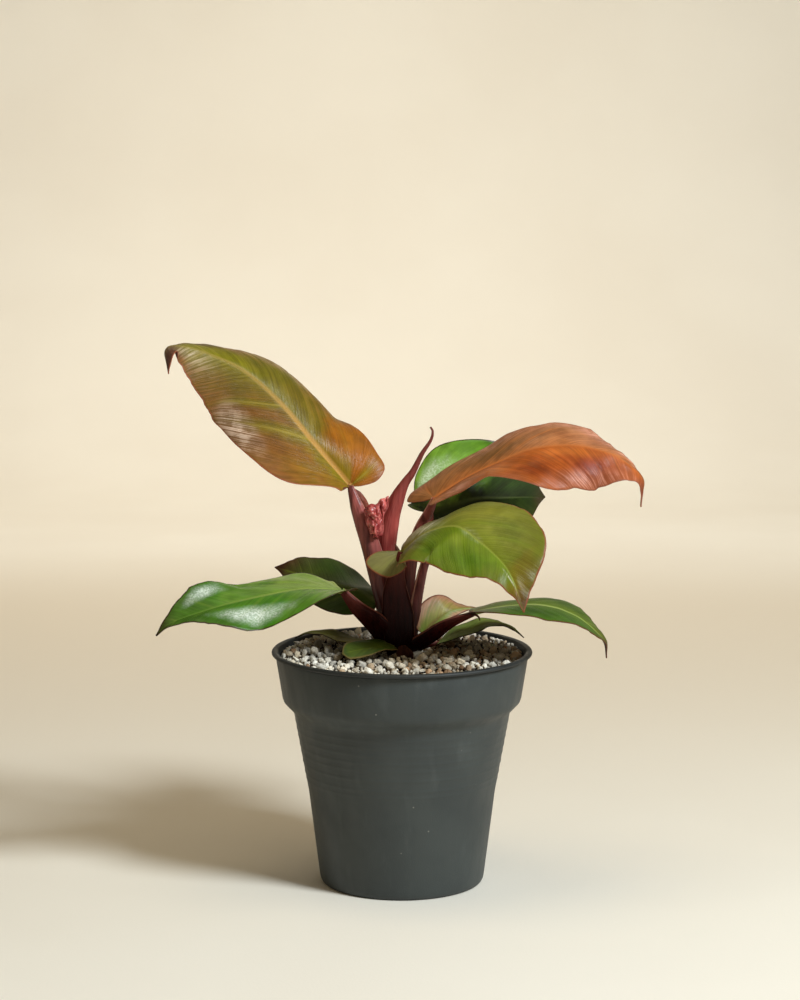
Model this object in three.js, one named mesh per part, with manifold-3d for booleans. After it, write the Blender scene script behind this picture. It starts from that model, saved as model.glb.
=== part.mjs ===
// A young sun red philodendron in its 12 cm nursery pot, in millimetres, +Z up.
// The origin is the centre of the pot's underside, and the plant's front looks along -Y.
import * as THREE from 'three';
import Module from 'manifold-3d';

const wasm = await Module();
wasm.setup();

// Clearance between neighbouring pieces
const GAP = 0.35;
// Room that a thin blade needs: how far it is moved, in clearances, and the squared lengths of the grid
// steps that it is moved along: none, to the faces of a cube and to its corners
const ROOM = 1.3;
const ROOM_MOVES = [0, 1, 3];
// Details finer than this are smoothed away where pieces are joined or cut
const SLIVER = 0.08;
// How far a cutting solid stands out of what it cuts
const OVERSHOOT = 1;

// Pot: outer radii and heights of the rim, the collar, the body and the foot
const RIM_HEIGHT = 108.6;
const RIM_RADIUS = 60;
const COLLAR_TOP_RADIUS = 58.2;
const COLLAR_FOOT = 86.2;
const COLLAR_FOOT_RADIUS = 55.1;
const BODY_TOP = 80.4;
const BODY_TOP_RADIUS = 50;
const BODY_WAIST = 43;
const BODY_WAIST_RADIUS = 43.2;
const BODY_FOOT = 3;
const BODY_FOOT_RADIUS = 38.2;
const FOOT_RADIUS = 36.8;
const FOOT_ROUND = [0.4, 0.8];
const WALL = 1.2;
const FLOOR = 1.8;
const ROUND_SIDES = 36;

// Rolled lip: its height, and where it is rounded, as shares of that height
const LIP = 1.9;
const LIP_UNDERSIDE = 0.85;
const LIP_SHOULDER = 0.3;
const LIP_CROWN = 0.5;

// Drain holes in the floor, round a flat centre
const DRAIN_COUNT = 6;
const DRAIN_RADIUS = 3.4;
const DRAIN_RING = 25;
const DRAIN_SIDES = 10;

// Crown, and the potting mix with the plain hole that it stands in
const STEM_FOOT = 66;
const STEM_RADIUS = 6.2;
const STEM_TOP = 113;
const STEM_SHOULDER = 0.7;
const STEM_CROWN = 0.2;
const MIX_TOP = 101.5;
const MIX_HOLE_RADIUS = STEM_RADIUS + GAP;
const MIX_HOLE_FLOOR = STEM_FOOT - GAP;

// Pumice top dressing: its bed, then the size, spacing, lift and squash of its stones
const PUMICE_EDGE = 104;
const PUMICE_MOUND = 2.6;
const PUMICE_HOLE_RADIUS = 12.5;
const PUMICE_RINGS = 4;
const STONE_SEED = 7;
const STONE_TRIES = 2600;
const STONE_RADIUS = [3.7, 5.2];
const STONE_SPACING = 1.7;
const STONE_LIFT = [-0.4, 1];
const STONE_BREADTH = [0.7, 1];
const STONE_HEIGHT = [0.65, 0.95];
const STONE_CLEARANCE = 1;
const STONE_SLIVER = 0.3;

// Blade thickness, midrib relief and the breadth over which a bend is measured
const BLADE = 0.8;
const MIDRIB_RELIEF = [0.7, 0.7, 0.4, 0.2, 0];
const BEND_SPAN = 25;
// How much closer the points of a blade lie near its midrib, and its least half breadth
const MIDRIB_CROWDING = 1.3;
const LEAST_BREADTH = 0.3;

// Stations of a blade half: share of the length, and where the vein to that station leaves the midrib
const MARGIN_SHARE = [0.04, 0.14, 0.28, 0.44, 0.60, 0.74, 0.85, 0.93];
const VEIN_SHARE = [0.00, 0.05, 0.15, 0.28, 0.43, 0.58, 0.73, 0.86];
// Round of a basal lobe: shares of the lobe backwards and of the first width outwards
const LOBE_ROUND = [[0, 0], [-0.55, 0.2], [-1, 0.55], [-0.55, 0.9]];

// Colours of the pieces
const SHADE = {
  pot: 0x34393b, mix: 0x3a2c22, pumice: 0xcfc8ba, stem: 0x3d1a1a, maroon: 0x4a1f22, spear: 0x7c2a2c,
  cataphyll: 0xb5525a, stub: 0x5b3a2c, bronze: 0x8f7a36, copper: 0xa65a32, green: 0x3f7f2a,
  deep: 0x24431f, olive: 0x6f7f35,
};
const POT_ROUGHNESS = 0.6;
const MIX_ROUGHNESS = 1;
const PUMICE_ROUGHNESS = 0.95;
const BLADE_ROUGHNESS = 0.4;
const STALK_ROUGHNESS = 0.45;

// Leaves. midrib: points from base to tip. faces: where the upper side looks, evenly spaced along the
// midrib. Each half has its widths at the margin stations, its basal lobe, its fold at the midrib and
// its bend over BEND_SPAN, in degrees. Negative bends turn the margin down.
const LEAVES = {
  a: {
    midrib: [
      [-24, 2, 184], [-39, 4, 202], [-55, 8, 221], [-72, 10, 236], [-88, 8, 244], [-100, 4, 248],
      [-107, 0, 247], [-106, -3, 236],
    ],
    faces: [
      [0.25, -0.85, 0.45], [0.15, -0.8, 0.5], [0, -0.75, 0.6], [-0.1, -0.6, 0.7], [-0.9, -0.4, 0.3],
    ],
    right: {
      widths: [21, 26, 31, 27, 21, 13, 7, 2], lobe: 6, fold: [30, 0, 5, -15, -45], bend: [-45, -80, -55],
    },
    left: {
      widths: [20, 28, 28, 28, 26, 17, 8, 3], lobe: 1, fold: [50, 10, -15, -30, -20], bend: [-5, -20, -25],
    },
    rows: 20, steps: 4, shade: SHADE.bronze,
  },
  b: {
    midrib: [
      [15, -2, 179], [29, -2, 188], [45, -4, 196], [59, -6, 202], [74, -8, 204], [85, -10, 203],
      [97, -12, 199], [108, -14, 190], [108, -16, 177],
    ],
    faces: [
      [0.1, -0.75, 0.6], [0, -0.7, 0.7], [0.05, -0.65, 0.75], [0.3, -0.5, 0.75], [0.9, -0.2, 0.2],
    ],
    right: {
      widths: [18, 24, 21, 25, 22, 18, 8, 3], lobe: 3, fold: [60, 50, 5, -30, 0], bend: [-5, -25, -35],
    },
    left: {
      widths: [19, 23, 24, 21, 22, 12, 6, 2], lobe: 12, fold: [-25, -20, -15, -20, -15], bend: [-40, -5, -5],
    },
    rows: 20, steps: 4, shade: SHADE.copper,
  },
  c: {
    midrib: [[13, 15, 170], [23, 24, 172], [35, 34, 174], [47, 44, 173], [58, 54, 172], [69, 62, 171]],
    faces: [[0.1, -0.5, 0.85], [0.1, -0.5, 0.85], [0.2, -0.5, 0.85]],
    right: {
      widths: [17, 23, 24, 23, 20, 16, 10, 4], lobe: 7, fold: [-45, -45, -45, -35, -25], bend: [-10, -10, -5],
    },
    left: {
      widths: [14, 23, 29, 28, 25, 19, 13, 5], lobe: 4, fold: [-10, 30, 55, 75, 80], bend: [-10, 5, 15],
    },
    rows: 18, steps: 4, shade: SHADE.green,
  },
  d: {
    midrib: [
      [0, -8, 155], [10, -18, 165], [24, -30, 170], [34, -42, 165], [43, -52, 158], [48, -58, 151],
      [53, -62, 137],
    ],
    faces: [[0, -0.5, 0.85], [0, -0.5, 0.85], [0.3, -0.6, 0.75], [0.6, -0.6, 0.5]],
    right: {
      widths: [21, 24, 25, 24, 20, 13, 6, 2], lobe: 12, fold: [5, 5, -20, -25, -20], bend: [40, -10, -15],
    },
    left: {
      widths: [11, 22, 22, 24, 26, 23, 12, 5], lobe: 3, fold: [20, 10, 30, 35, 35], bend: [-95, -25, -10],
    },
    rows: 20, steps: 4, shade: SHADE.olive,
  },
  e: {
    midrib: [
      [-27, -8, 137], [-44, -14, 139], [-62, -20, 137], [-78, -25, 134], [-93, -29, 130],
      [-104, -31, 126], [-110, -32, 121],
    ],
    faces: [[-0.1, -0.4, 0.9], [-0.1, -0.4, 0.9], [-0.2, -0.45, 0.85], [-0.5, -0.4, 0.7]],
    right: {
      widths: [16, 23, 22, 21, 18, 15, 8, 3], lobe: 0, fold: [-15, -10, -5, 30, 35], bend: [5, -20, -15],
    },
    left: {
      widths: [17, 21, 22, 21, 19, 11, 5, 2], lobe: 3, fold: [35, 15, -5, 10, 5], bend: [0, -20, -20],
    },
    rows: 18, steps: 4, shade: SHADE.green,
  },
  f: {
    midrib: [[-11, 7, 129], [-21, 15, 134], [-33, 26, 135], [-45, 38, 136], [-54, 48, 137], [-61, 54, 138]],
    faces: [[-0.1, -0.5, 0.85], [-0.1, -0.5, 0.85], [-0.2, -0.5, 0.8]],
    right: {
      widths: [14, 21, 21, 22, 18, 12, 8, 3], lobe: 1, fold: [-5, -25, 0, 20, 45], bend: [-60, -45, -25],
    },
    left: {
      widths: [9, 14, 15, 13, 11, 8, 5, 2], lobe: 1, fold: [-20, -20, -25, -30, -30], bend: [0, -5, -10],
    },
    rows: 16, steps: 3, shade: SHADE.deep,
  },
  g: {
    midrib: [
      [33, -8, 127], [44, -12, 130], [59, -16, 132], [69, -18, 131], [75, -19, 129], [81, -20, 126],
      [88, -20, 120], [92, -19, 115], [93, -18, 108],
    ],
    faces: [[0, -0.35, 0.95], [0.1, -0.35, 0.95], [0.3, -0.35, 0.9], [0.7, -0.4, 0.5]],
    right: {
      widths: [15, 20, 21, 19, 17, 10, 5, 2], lobe: 4, fold: [30, 25, 15, 20, 20], bend: [-10, -15, -20],
    },
    left: {
      widths: [15, 20, 21, 20, 16, 10, 5, 2], lobe: 5, fold: [-10, -10, -5, -5, -10], bend: [-25, -30, -15],
    },
    rows: 16, steps: 3, shade: SHADE.green,
  },
  h: {
    midrib: [
      [17, 8, 110], [25, 10, 114], [33, 12, 116], [39, 13, 118], [46, 14, 118], [51, 15, 116],
      [57, 16, 111],
    ],
    faces: [[0.1, -0.5, 0.85], [0.1, -0.5, 0.85], [0.3, -0.5, 0.8]],
    right: {
      widths: [8, 10, 11, 10, 8, 5, 3, 1], lobe: 2, fold: [45, 35, 35, 30, 15], bend: [-10, -10, -15],
    },
    left: {
      widths: [8, 10, 11, 10, 8, 5, 3, 1], lobe: 2, fold: [-45, -25, -20, -30, -25], bend: [-30, -20, -25],
    },
    rows: 12, steps: 2, shade: SHADE.deep,
  },
  i: {
    midrib: [[-18, 2, 111], [-24, 4, 112], [-31, 7, 113], [-38, 10, 114], [-44, 13, 114], [-50, 15, 111]],
    faces: [[-0.1, -0.5, 0.85], [-0.1, -0.5, 0.85], [-0.2, -0.5, 0.85]],
    right: {
      widths: [6, 8, 9, 8, 7, 4, 2, 1], lobe: 1, fold: [-25, -30, -15, -30, -35], bend: [-30, -25, -25],
    },
    left: {
      widths: [6, 8, 9, 8, 7, 5, 2, 1], lobe: 1, fold: [35, 35, 45, 30, 15], bend: [-10, -10, -15],
    },
    rows: 12, steps: 2, shade: SHADE.olive,
  },
  j: {
    midrib: [[-3, -10.5, 111], [-9, -12, 112], [-15, -14, 111.5], [-21, -17, 111], [-27, -19, 110]],
    faces: [[-0.1, -0.6, 0.8], [-0.1, -0.6, 0.8], [-0.2, -0.6, 0.8]],
    right: {
      widths: [4, 6, 8, 8, 8, 7, 6, 4], lobe: 0, fold: [-15, -15, -10, 0, 10], bend: [-25, -25, -25],
    },
    left: {
      widths: [4, 6, 7, 7, 7, 6, 5, 4], lobe: 0, fold: [35, 35, 25, 10, 0], bend: [-10, -10, -15],
    },
    rows: 12, steps: 2, shade: SHADE.deep, trimmed: true,
  },
  k: {
    midrib: [[10, 4, 115], [15, 7, 120], [21, 10, 124], [27, 13, 125], [35, 16, 125]],
    faces: [[0.1, -0.9, 0.4], [0, -0.9, 0.4], [0, -0.8, 0.5]],
    right: {
      widths: [3, 4, 4, 4, 3, 2, 1, 1], lobe: 1, fold: [0, 0, 0, 0, 0], bend: [0, 0, 0],
    },
    left: {
      widths: [6, 8, 10, 10, 8, 5, 2, 1], lobe: 1, fold: [30, 15, 5, -35, -30], bend: [-15, -15, -20],
    },
    rows: 12, steps: 2, shade: SHADE.copper,
  },
};

// Stalks, in the order in which they keep their full section where they crowd at the crown.
// path: points from the crown outwards. to: the leaf whose base it ends at. joint: how far short of it.
// out: where the rounded outer side looks at the crown and at the far end. Widths, depths and the
// breadth of a thin wing on one side are evenly spaced along it.
const STALKS = {
  petiole_d: {
    path: [[-1, -4, 106], [-1, -6, 113], [-2, -7, 126], [-3, -8, 137], [-2, -9, 147]], to: 'd', joint: 2.1,
    out: [[0, -1, 0], [0, -1, 0]], widths: [11, 14, 15, 12, 7, 3.5], depths: [6, 6, 5.5, 5, 4.5, 3.5],
    shade: SHADE.maroon,
  },
  petiole_e: {
    path: [[-3, -2, 107], [-6, -4, 114], [-12, -6, 122], [-20, -7.5, 129]], to: 'e', joint: 1.2,
    out: [[-0.2, -0.8, -0.5], [-0.2, -0.8, -0.5]], widths: [11, 13, 12, 8, 3.5], depths: [5, 5, 5, 4, 3],
    shade: SHADE.maroon,
  },
  petiole_g: {
    path: [[3, -2, 107], [7, -5, 112], [14, -7, 117], [21, -8, 122]], to: 'g', joint: 1.6,
    out: [[0.2, -0.8, -0.5], [0.1, -0.6, -0.8]], widths: [9, 9, 9, 6, 3], depths: [5, 5, 4.5, 4, 3],
    shade: SHADE.maroon,
  },
  new_leaf_spear: {
    path: [
      [-2, 3, 108], [-5, 3, 126], [-7, 3, 143], [-7, 3, 155], [-5, 3, 169], [-2, 2, 178], [1, 1, 185],
      [5, 0, 191], [9, 0, 199], [13, 1, 205], [14, 2, 209], [13, 3, 211],
    ],
    out: [[0, -1, 0], [0, -1, 0]], widths: [7, 8, 9, 9, 8.5, 8, 7, 3.5, 2.4, 2, 1.5, 1],
    depths: [7, 7, 7, 7, 7, 6.5, 6, 3.5, 2.4, 2, 1.5, 1], wing: [0, 0, 0, 0, 2, 7, 3, 1, 0, 0, 0, 0],
    shade: SHADE.spear,
  },
  petiole_a: {
    path: [[-4, 0, 106], [-7, 0, 124], [-12, 0, 143], [-16, 0, 158], [-20.5, 1, 172]], to: 'a', joint: 1.0,
    out: [[-0.5, -0.8, 0], [-0.6, -0.6, 0]], widths: [10, 11, 11, 10, 8, 3.5], depths: [5, 5, 5, 5, 4.5, 3.5],
    shade: SHADE.maroon,
  },
  petiole_c: {
    path: [[3, 3, 106], [6, 6, 128], [9, 9, 142], [12, 12, 152], [13, 14, 161]], to: 'c', joint: 1.7,
    out: [[0.8, -0.3, 0], [0.5, -0.7, 0]], widths: [8, 8, 7, 5, 4, 3], depths: [6, 6, 5, 4, 3.5, 3],
    shade: SHADE.maroon,
  },
  petiole_b: {
    path: [[1, 4, 107], [2, 5, 126], [3, 6.5, 140], [5, 8, 153], [8, 7, 163], [12, 3, 171.5]],
    to: 'b', joint: 1.7,
    out: [[0.6, -0.6, 0], [0.3, -0.8, -0.3]], widths: [7, 7, 7, 6.5, 6.5, 5.5, 3],
    depths: [6, 6, 5, 5, 4.5, 4, 3], shade: SHADE.maroon,
  },
  petiole_f: {
    path: [[-3, 3, 107], [-6, 5, 114], [-9, 6.5, 122]], to: 'f', joint: 1.8,
    out: [[-0.6, -0.3, -0.6], [-0.6, -0.3, -0.6]], widths: [6, 6, 5, 3], depths: [5, 4.5, 4, 3],
    shade: SHADE.maroon,
  },
  petiole_k: {
    path: [[4, 1, 107], [8, 3, 111]], to: 'k', joint: 1.7,
    out: [[0.5, -0.8, -0.4], [0.2, -0.9, -0.2]], widths: [5, 4, 2.4], depths: [4, 3.2, 2.4],
    shade: SHADE.maroon,
  },
  petiole_h: {
    path: [[4, 4, 107], [10, 6, 109]], to: 'h', joint: 1.2,
    out: [[0.2, -0.6, -0.8], [0.2, -0.6, -0.8]], widths: [5, 4, 2.4], depths: [4, 3, 2.2],
    shade: SHADE.maroon,
  },
  petiole_i: {
    path: [[-4, 1, 107], [-11, 1, 109.5]], to: 'i', joint: 0.9,
    out: [[-0.2, -0.6, -0.8], [-0.2, -0.6, -0.8]], widths: [5, 4, 2.2], depths: [4, 3, 2],
    shade: SHADE.maroon,
  },
  sheath_stub: {
    path: [[1, -7.5, 104], [1, -9.4, 107], [0, -10, 112]],
    out: [[0, -1, 0], [0, -1, 0]], widths: [8, 9, 3], depths: [2.4, 2.4, 1.6], shade: SHADE.stub,
  },
};
const STALK_SIDES = 10;
const STALK_FLATNESS = 0.4;
const SPAN_RINGS = 2;

// Crumpled cataphyll between the first petiole and the spear. Each fold has a depth and its turns
// across and along the sheet, in radians.
const CATAPHYLL_CENTRE = [-12.2, -4.2, 169];
const CATAPHYLL_SIZE = [12, 15];
const CATAPHYLL_CELLS = 6;
const CATAPHYLL_TAPER = 0.5;
const CATAPHYLL_WIDEST = -0.1;
const CATAPHYLL_LEAN = 0.15;
const CATAPHYLL_FOLDS = [[1.4, 9, 4], [0.84, -3, 13]];

// Factor, step and range of the seeded random numbers
const RANDOM_FACTOR = 1664525;
const RANDOM_STEP = 1013904223;
const RANDOM_RANGE = 2 ** 32;

const TURN = 2 * Math.PI;
const STRAIGHT = 1e-6;
const CURVE_DIVISIONS = 240;
const rad = THREE.MathUtils.degToRad;
const { lerp, clamp } = THREE.MathUtils;
const vector = (xyz) => new THREE.Vector3(...xyz);
const curveThrough = (points) => new THREE.CatmullRomCurve3(points.map(vector), false, 'catmullrom', 0.5);

// Value at a share of the way through evenly spaced values, which may be numbers or directions
function along(values, share) {
  const at = clamp(share, 0, 1) * (values.length - 1);
  const i = Math.min(Math.floor(at), values.length - 2);
  if (typeof values[0] === 'number') return lerp(values[i], values[i + 1], at - i);
  return values[i].map((value, axis) => lerp(value, values[i + 1][axis], at - i));
}

// Point on a curve with its tangent, the direction that is faced, and the direction across
function frameAt(curve, share, faces) {
  const point = curve.getPointAt(share);
  const tangent = curve.getTangentAt(share);
  const facing = vector(along(faces, share)).normalize();
  facing.addScaledVector(tangent, -facing.dot(tangent)).normalize();
  return { point, tangent, facing, across: tangent.clone().cross(facing) };
}

// Geometry from points and triangles, turned so that its faces point out
function solidGeometry(points, triangles) {
  const geometry = new THREE.BufferGeometry().setFromPoints(points);
  const volume = triangles.reduce((sum, [a, b, c]) => (
    sum + points[a].dot(points[b].clone().cross(points[c]))), 0);
  const faces = volume > 0 ? triangles : triangles.map(([a, b, c]) => [a, c, b]);
  geometry.setIndex(faces.flat());
  return geometry;
}

function toManifold(geometry) {
  const vertProperties = new Float32Array(geometry.attributes.position.array);
  const triVerts = new Uint32Array(geometry.index.array);
  return new wasm.Manifold(new wasm.Mesh({ numProp: 3, vertProperties, triVerts }));
}

function fromManifold(solid) {
  const { vertProperties, triVerts, numProp } = solid.getMesh();
  const positions = [];
  for (let i = 0; i < vertProperties.length; i += numProp) positions.push(...vertProperties.slice(i, i + 3));
  const geometry = new THREE.BufferGeometry();
  geometry.setAttribute('position', new THREE.Float32BufferAttribute(positions, 3));
  geometry.setIndex([...triVerts]);
  return geometry;
}

// What is left of a solid beside its neighbours, without slivers and loose scraps
function largestPart(solid, sliver = SLIVER) {
  const parts = solid.simplify(sliver).decompose();
  return parts.sort((a, b) => b.volume() - a.volume())[0];
}

// Solid geometry of a three.js shape whose triangles share no points
function merged(geometry) {
  const points = [];
  const index = new Map();
  const { position } = geometry.attributes;
  const places = Array.from({ length: position.count }, (_, i) => {
    const point = new THREE.Vector3().fromBufferAttribute(position, i);
    const key = point.toArray().map((value) => Math.round(value * 1000)).join();
    if (!index.has(key)) index.set(key, points.push(point) - 1);
    return index.get(key);
  });
  const corners = geometry.index ? [...geometry.index.array] : places.map((_, i) => i);
  const triangles = [];
  for (let i = 0; i < corners.length; i += 3) {
    const triangle = corners.slice(i, i + 3).map((corner) => places[corner]);
    if (new Set(triangle).size === 3) triangles.push(triangle);
  }
  return solidGeometry(points, triangles);
}

// Profile of [radius, height] pairs turned about the Z axis
function turned(profile) {
  const lathe = new THREE.LatheGeometry(profile.map(([r, z]) => new THREE.Vector2(r, z)), ROUND_SIDES);
  return merged(lathe.rotateX(Math.PI / 2));
}

// Inside of the pot's wall, as [radius, height] pairs from the floor up to the lip
function potInside() {
  return [
    [FOOT_RADIUS - WALL, FLOOR],
    [BODY_FOOT_RADIUS - WALL, FLOOR + BODY_FOOT / 2],
    [BODY_WAIST_RADIUS - WALL, BODY_WAIST],
    [BODY_TOP_RADIUS - WALL, BODY_TOP + WALL / 2],
    [COLLAR_FOOT_RADIUS - WALL, COLLAR_FOOT + WALL / 2],
    [COLLAR_TOP_RADIUS - WALL, RIM_HEIGHT - LIP],
  ];
}

function potGeometry() {
  const [footIn, footUp] = FOOT_ROUND;
  const outside = [
    [0, 0], [FOOT_RADIUS, 0], [BODY_FOOT_RADIUS - footIn, footUp], [BODY_FOOT_RADIUS, BODY_FOOT],
    [BODY_WAIST_RADIUS, BODY_WAIST], [BODY_TOP_RADIUS, BODY_TOP], [COLLAR_FOOT_RADIUS, COLLAR_FOOT],
    [COLLAR_TOP_RADIUS, RIM_HEIGHT - LIP], [RIM_RADIUS, RIM_HEIGHT - LIP * LIP_UNDERSIDE],
    [RIM_RADIUS, RIM_HEIGHT - LIP * LIP_SHOULDER], [RIM_RADIUS - LIP * LIP_CROWN, RIM_HEIGHT],
    [COLLAR_TOP_RADIUS - WALL, RIM_HEIGHT - LIP * LIP_SHOULDER],
  ];
  const body = toManifold(turned([...outside, ...potInside().reverse(), [0, FLOOR]]));
  const drains = Array.from({ length: DRAIN_COUNT }, (_, i) => drainHole((i / DRAIN_COUNT) * TURN));
  return fromManifold(drains.reduce((pot, drain) => pot.subtract(drain), body));
}

function drainHole(direction) {
  const height = FLOOR + 2 * OVERSHOOT;
  const post = new THREE.CylinderGeometry(DRAIN_RADIUS, DRAIN_RADIUS, height, DRAIN_SIDES);
  post.rotateX(Math.PI / 2);
  post.translate(DRAIN_RING * Math.cos(direction), DRAIN_RING * Math.sin(direction), FLOOR / 2);
  return toManifold(merged(post));
}

// Radius that fills the pot with clearance at a height
function fillRadius(height) {
  const wall = potInside();
  const i = Math.max(wall.findIndex(([, z]) => z > height), 1);
  const [[r0, z0], [r1, z1]] = [wall[i - 1], wall[i]];
  return lerp(r0, r1, (height - z0) / (z1 - z0)) - GAP;
}

function mixGeometry() {
  const wall = potInside().filter(([, z]) => z > FLOOR && z < MIX_TOP).map(([r, z]) => [r - GAP, z]);
  return turned([
    [0, FLOOR + GAP], [FOOT_RADIUS - WALL - GAP, FLOOR + GAP], ...wall, [fillRadius(MIX_TOP), MIX_TOP],
    [MIX_HOLE_RADIUS, MIX_TOP], [MIX_HOLE_RADIUS, MIX_HOLE_FLOOR], [0, MIX_HOLE_FLOOR],
  ]);
}

function stemGeometry(grow = 0) {
  return turned([
    [0, STEM_FOOT], [STEM_RADIUS + grow, STEM_FOOT],
    [STEM_RADIUS + grow, STEM_TOP - STEM_RADIUS * STEM_SHOULDER],
    [STEM_RADIUS * STEM_SHOULDER + grow, STEM_TOP - STEM_RADIUS * STEM_CROWN + grow], [0, STEM_TOP + grow],
  ]);
}

// Height of the pumice bed under its stones
const pumiceBed = (radius) => PUMICE_EDGE + PUMICE_MOUND * (1 - (radius / COLLAR_FOOT_RADIUS) ** 2);

// Pumice stones by a seeded rule, on the bed and clear of the foliage over it
function stonePlaces(foliage) {
  const random = seededRandom(STONE_SEED);
  const stones = [];
  for (let i = 0; i < STONE_TRIES; i += 1) {
    const radius = lerp(...STONE_RADIUS, random() ** 2);
    const inner = PUMICE_HOLE_RADIUS + radius;
    const outer = fillRadius(PUMICE_EDGE) - radius - GAP;
    const reach = Math.sqrt(lerp(inner ** 2, outer ** 2, random()));
    const angle = random() * TURN;
    const height = pumiceBed(reach) + lerp(...STONE_LIFT, random());
    const place = vector([reach * Math.cos(angle), reach * Math.sin(angle), height]);
    const turn = new THREE.Euler(random() * TURN, random() * TURN, random() * TURN);
    const squash = vector([1, lerp(...STONE_BREADTH, random()), lerp(...STONE_HEIGHT, random())]);
    const crowded = stones.some((other) => (
      other.place.distanceTo(place) < (other.radius + radius) * STONE_SPACING / 2));
    const covered = foliage.some((point) => point.distanceTo(place) < radius + STONE_CLEARANCE);
    if (!crowded && !covered) stones.push({ place, radius, turn, squash: squash.multiplyScalar(radius) });
  }
  return stones;
}

function seededRandom(seed) {
  let state = seed;
  return () => {
    state = (state * RANDOM_FACTOR + RANDOM_STEP) % RANDOM_RANGE;
    return state / RANDOM_RANGE;
  };
}

function stoneManifold({ place, turn, squash }) {
  const stone = new THREE.IcosahedronGeometry(1, 0);
  stone.applyMatrix4(new THREE.Matrix4().compose(place, new THREE.Quaternion().setFromEuler(turn), squash));
  return toManifold(merged(stone));
}

function pumiceGeometry(foliage) {
  const floor = MIX_TOP + GAP;
  const top = Array.from({ length: PUMICE_RINGS }, (_, i) => {
    const radius = lerp(fillRadius(PUMICE_EDGE), PUMICE_HOLE_RADIUS, i / (PUMICE_RINGS - 1));
    return [radius, pumiceBed(radius)];
  });
  const start = [PUMICE_HOLE_RADIUS, floor];
  const bed = toManifold(turned([start, [fillRadius(floor), floor], ...top, start]));
  const under = toManifold(turned([[0, 0], [RIM_RADIUS, 0], [RIM_RADIUS, floor], [0, floor]]));
  const stones = wasm.Manifold.union(stonePlaces(foliage).map(stoneManifold)).subtract(under);
  return fromManifold(largestPart(bed.add(stones), STONE_SLIVER));
}

// Point of a blade from its flat place: x along the midrib, y across it, positive to the right
function bladePoint(leaf, x, y) {
  const share = clamp(x / leaf.length, 0, 1);
  const half = y < 0 ? leaf.left : leaf.right;
  const { point, tangent, facing, across } = frameAt(leaf.curve, share, leaf.faces);
  const reach = Math.abs(y);
  const fold = rad(along(half.fold, share));
  const bend = rad(along(half.bend, share)) / BEND_SPAN || STRAIGHT;
  const lateral = (Math.sin(fold + bend * reach) - Math.sin(fold)) / bend;
  const rise = (Math.cos(fold) - Math.cos(fold + bend * reach)) / bend;
  point.addScaledVector(tangent, Math.min(x, 0));
  return point.addScaledVector(across, Math.sign(y) * lateral).addScaledVector(facing, rise);
}

// Flat margin of a blade half: distance along the midrib, distance across, and the vein's origin
function marginCurve({ length }, { widths, lobe }) {
  return curveThrough([
    ...LOBE_ROUND.map(([back, out]) => [back * lobe, out * widths[0], 0]),
    ...widths.map((width, i) => [MARGIN_SHARE[i] * length, width, VEIN_SHARE[i] * length]),
    [length, 0, length],
  ]);
}

// Middle surface of a blade: its points, its rows from margin to margin, and the midrib's relief
function bladeSurface(leaf) {
  const { rows, steps, length } = leaf;
  const points = [];
  const relief = [];
  const add = (x, y, height) => {
    relief.push(height);
    return points.push(bladePoint(leaf, x, y)) - 1;
  };
  const base = add(0, 0, MIDRIB_RELIEF[0]);
  const margins = [[marginCurve(leaf, leaf.left), -1], [marginCurve(leaf, leaf.right), 1]];
  const grid = [];
  for (let row = 1; row < rows; row += 1) {
    const origin = Math.max(margins[0][0].getPoint(row / rows).z, 0);
    const middle = origin > 0 ? add(origin, 0, along(MIDRIB_RELIEF, origin / length)) : base;
    const line = Array(2 * steps + 1).fill(middle);
    for (const [margin, sign] of margins) {
      const edge = margin.getPoint(row / rows);
      for (let step = 1; step <= steps; step += 1) {
        const share = (step / steps) ** MIDRIB_CROWDING;
        line[steps + sign * step] = add(
          lerp(origin, edge.x, share), sign * Math.max(edge.y, LEAST_BREADTH) * share, 0);
      }
    }
    grid.push(line);
  }
  grid.push(Array(2 * steps + 1).fill(add(length, 0, 0)));
  return { points, relief, triangles: gridTriangles(grid, steps) };
}

// Triangles between the rows of a blade, split along its veins
function gridTriangles(grid, steps) {
  const triangles = [];
  for (let row = 0; row < grid.length - 1; row += 1) {
    for (let k = 0; k < 2 * steps; k += 1) {
      const [a, b, c, d] = [grid[row][k], grid[row][k + 1], grid[row + 1][k + 1], grid[row + 1][k]];
      const pair = k < steps ? [[a, b, c], [a, c, d]] : [[a, b, d], [b, c, d]];
      triangles.push(...pair.filter((corners) => new Set(corners).size === 3));
    }
  }
  return triangles;
}

// Edges of a sheet that only one triangle has
function rimOf(triangles) {
  const edges = new Set(triangles.flatMap(([a, b, c]) => [`${a},${b}`, `${b},${c}`, `${c},${a}`]));
  return [...edges].map((edge) => edge.split(',').map(Number)).filter(([a, b]) => !edges.has(`${b},${a}`));
}

// Closed sheet from its upper and lower points, with both faces split alike and a rim round its edge
function sheetGeometry(upper, lower, triangles) {
  const count = upper.length;
  return solidGeometry([...upper, ...lower], [
    ...triangles,
    ...triangles.map(([a, b, c]) => [a + count, c + count, b + count]),
    ...rimOf(triangles).flatMap(([a, b]) => [[b, a, a + count], [b, a + count, b + count]]),
  ]);
}

// Blade with its midrib raised on the underside
function bladeGeometry(leaf) {
  const { points, triangles, relief } = bladeSurface(leaf);
  const middle = new THREE.BufferGeometry().setFromPoints(points);
  middle.setIndex(triangles.flat());
  middle.computeVertexNormals();
  const normal = points.map((_, i) => new THREE.Vector3().fromBufferAttribute(middle.attributes.normal, i));
  const upper = points.map((point, i) => point.clone().addScaledVector(normal[i], BLADE / 2));
  const lower = points.map((point, i) => point.clone().addScaledVector(normal[i], -BLADE / 2 - relief[i]));
  return sheetGeometry(upper, lower, triangles);
}

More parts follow.
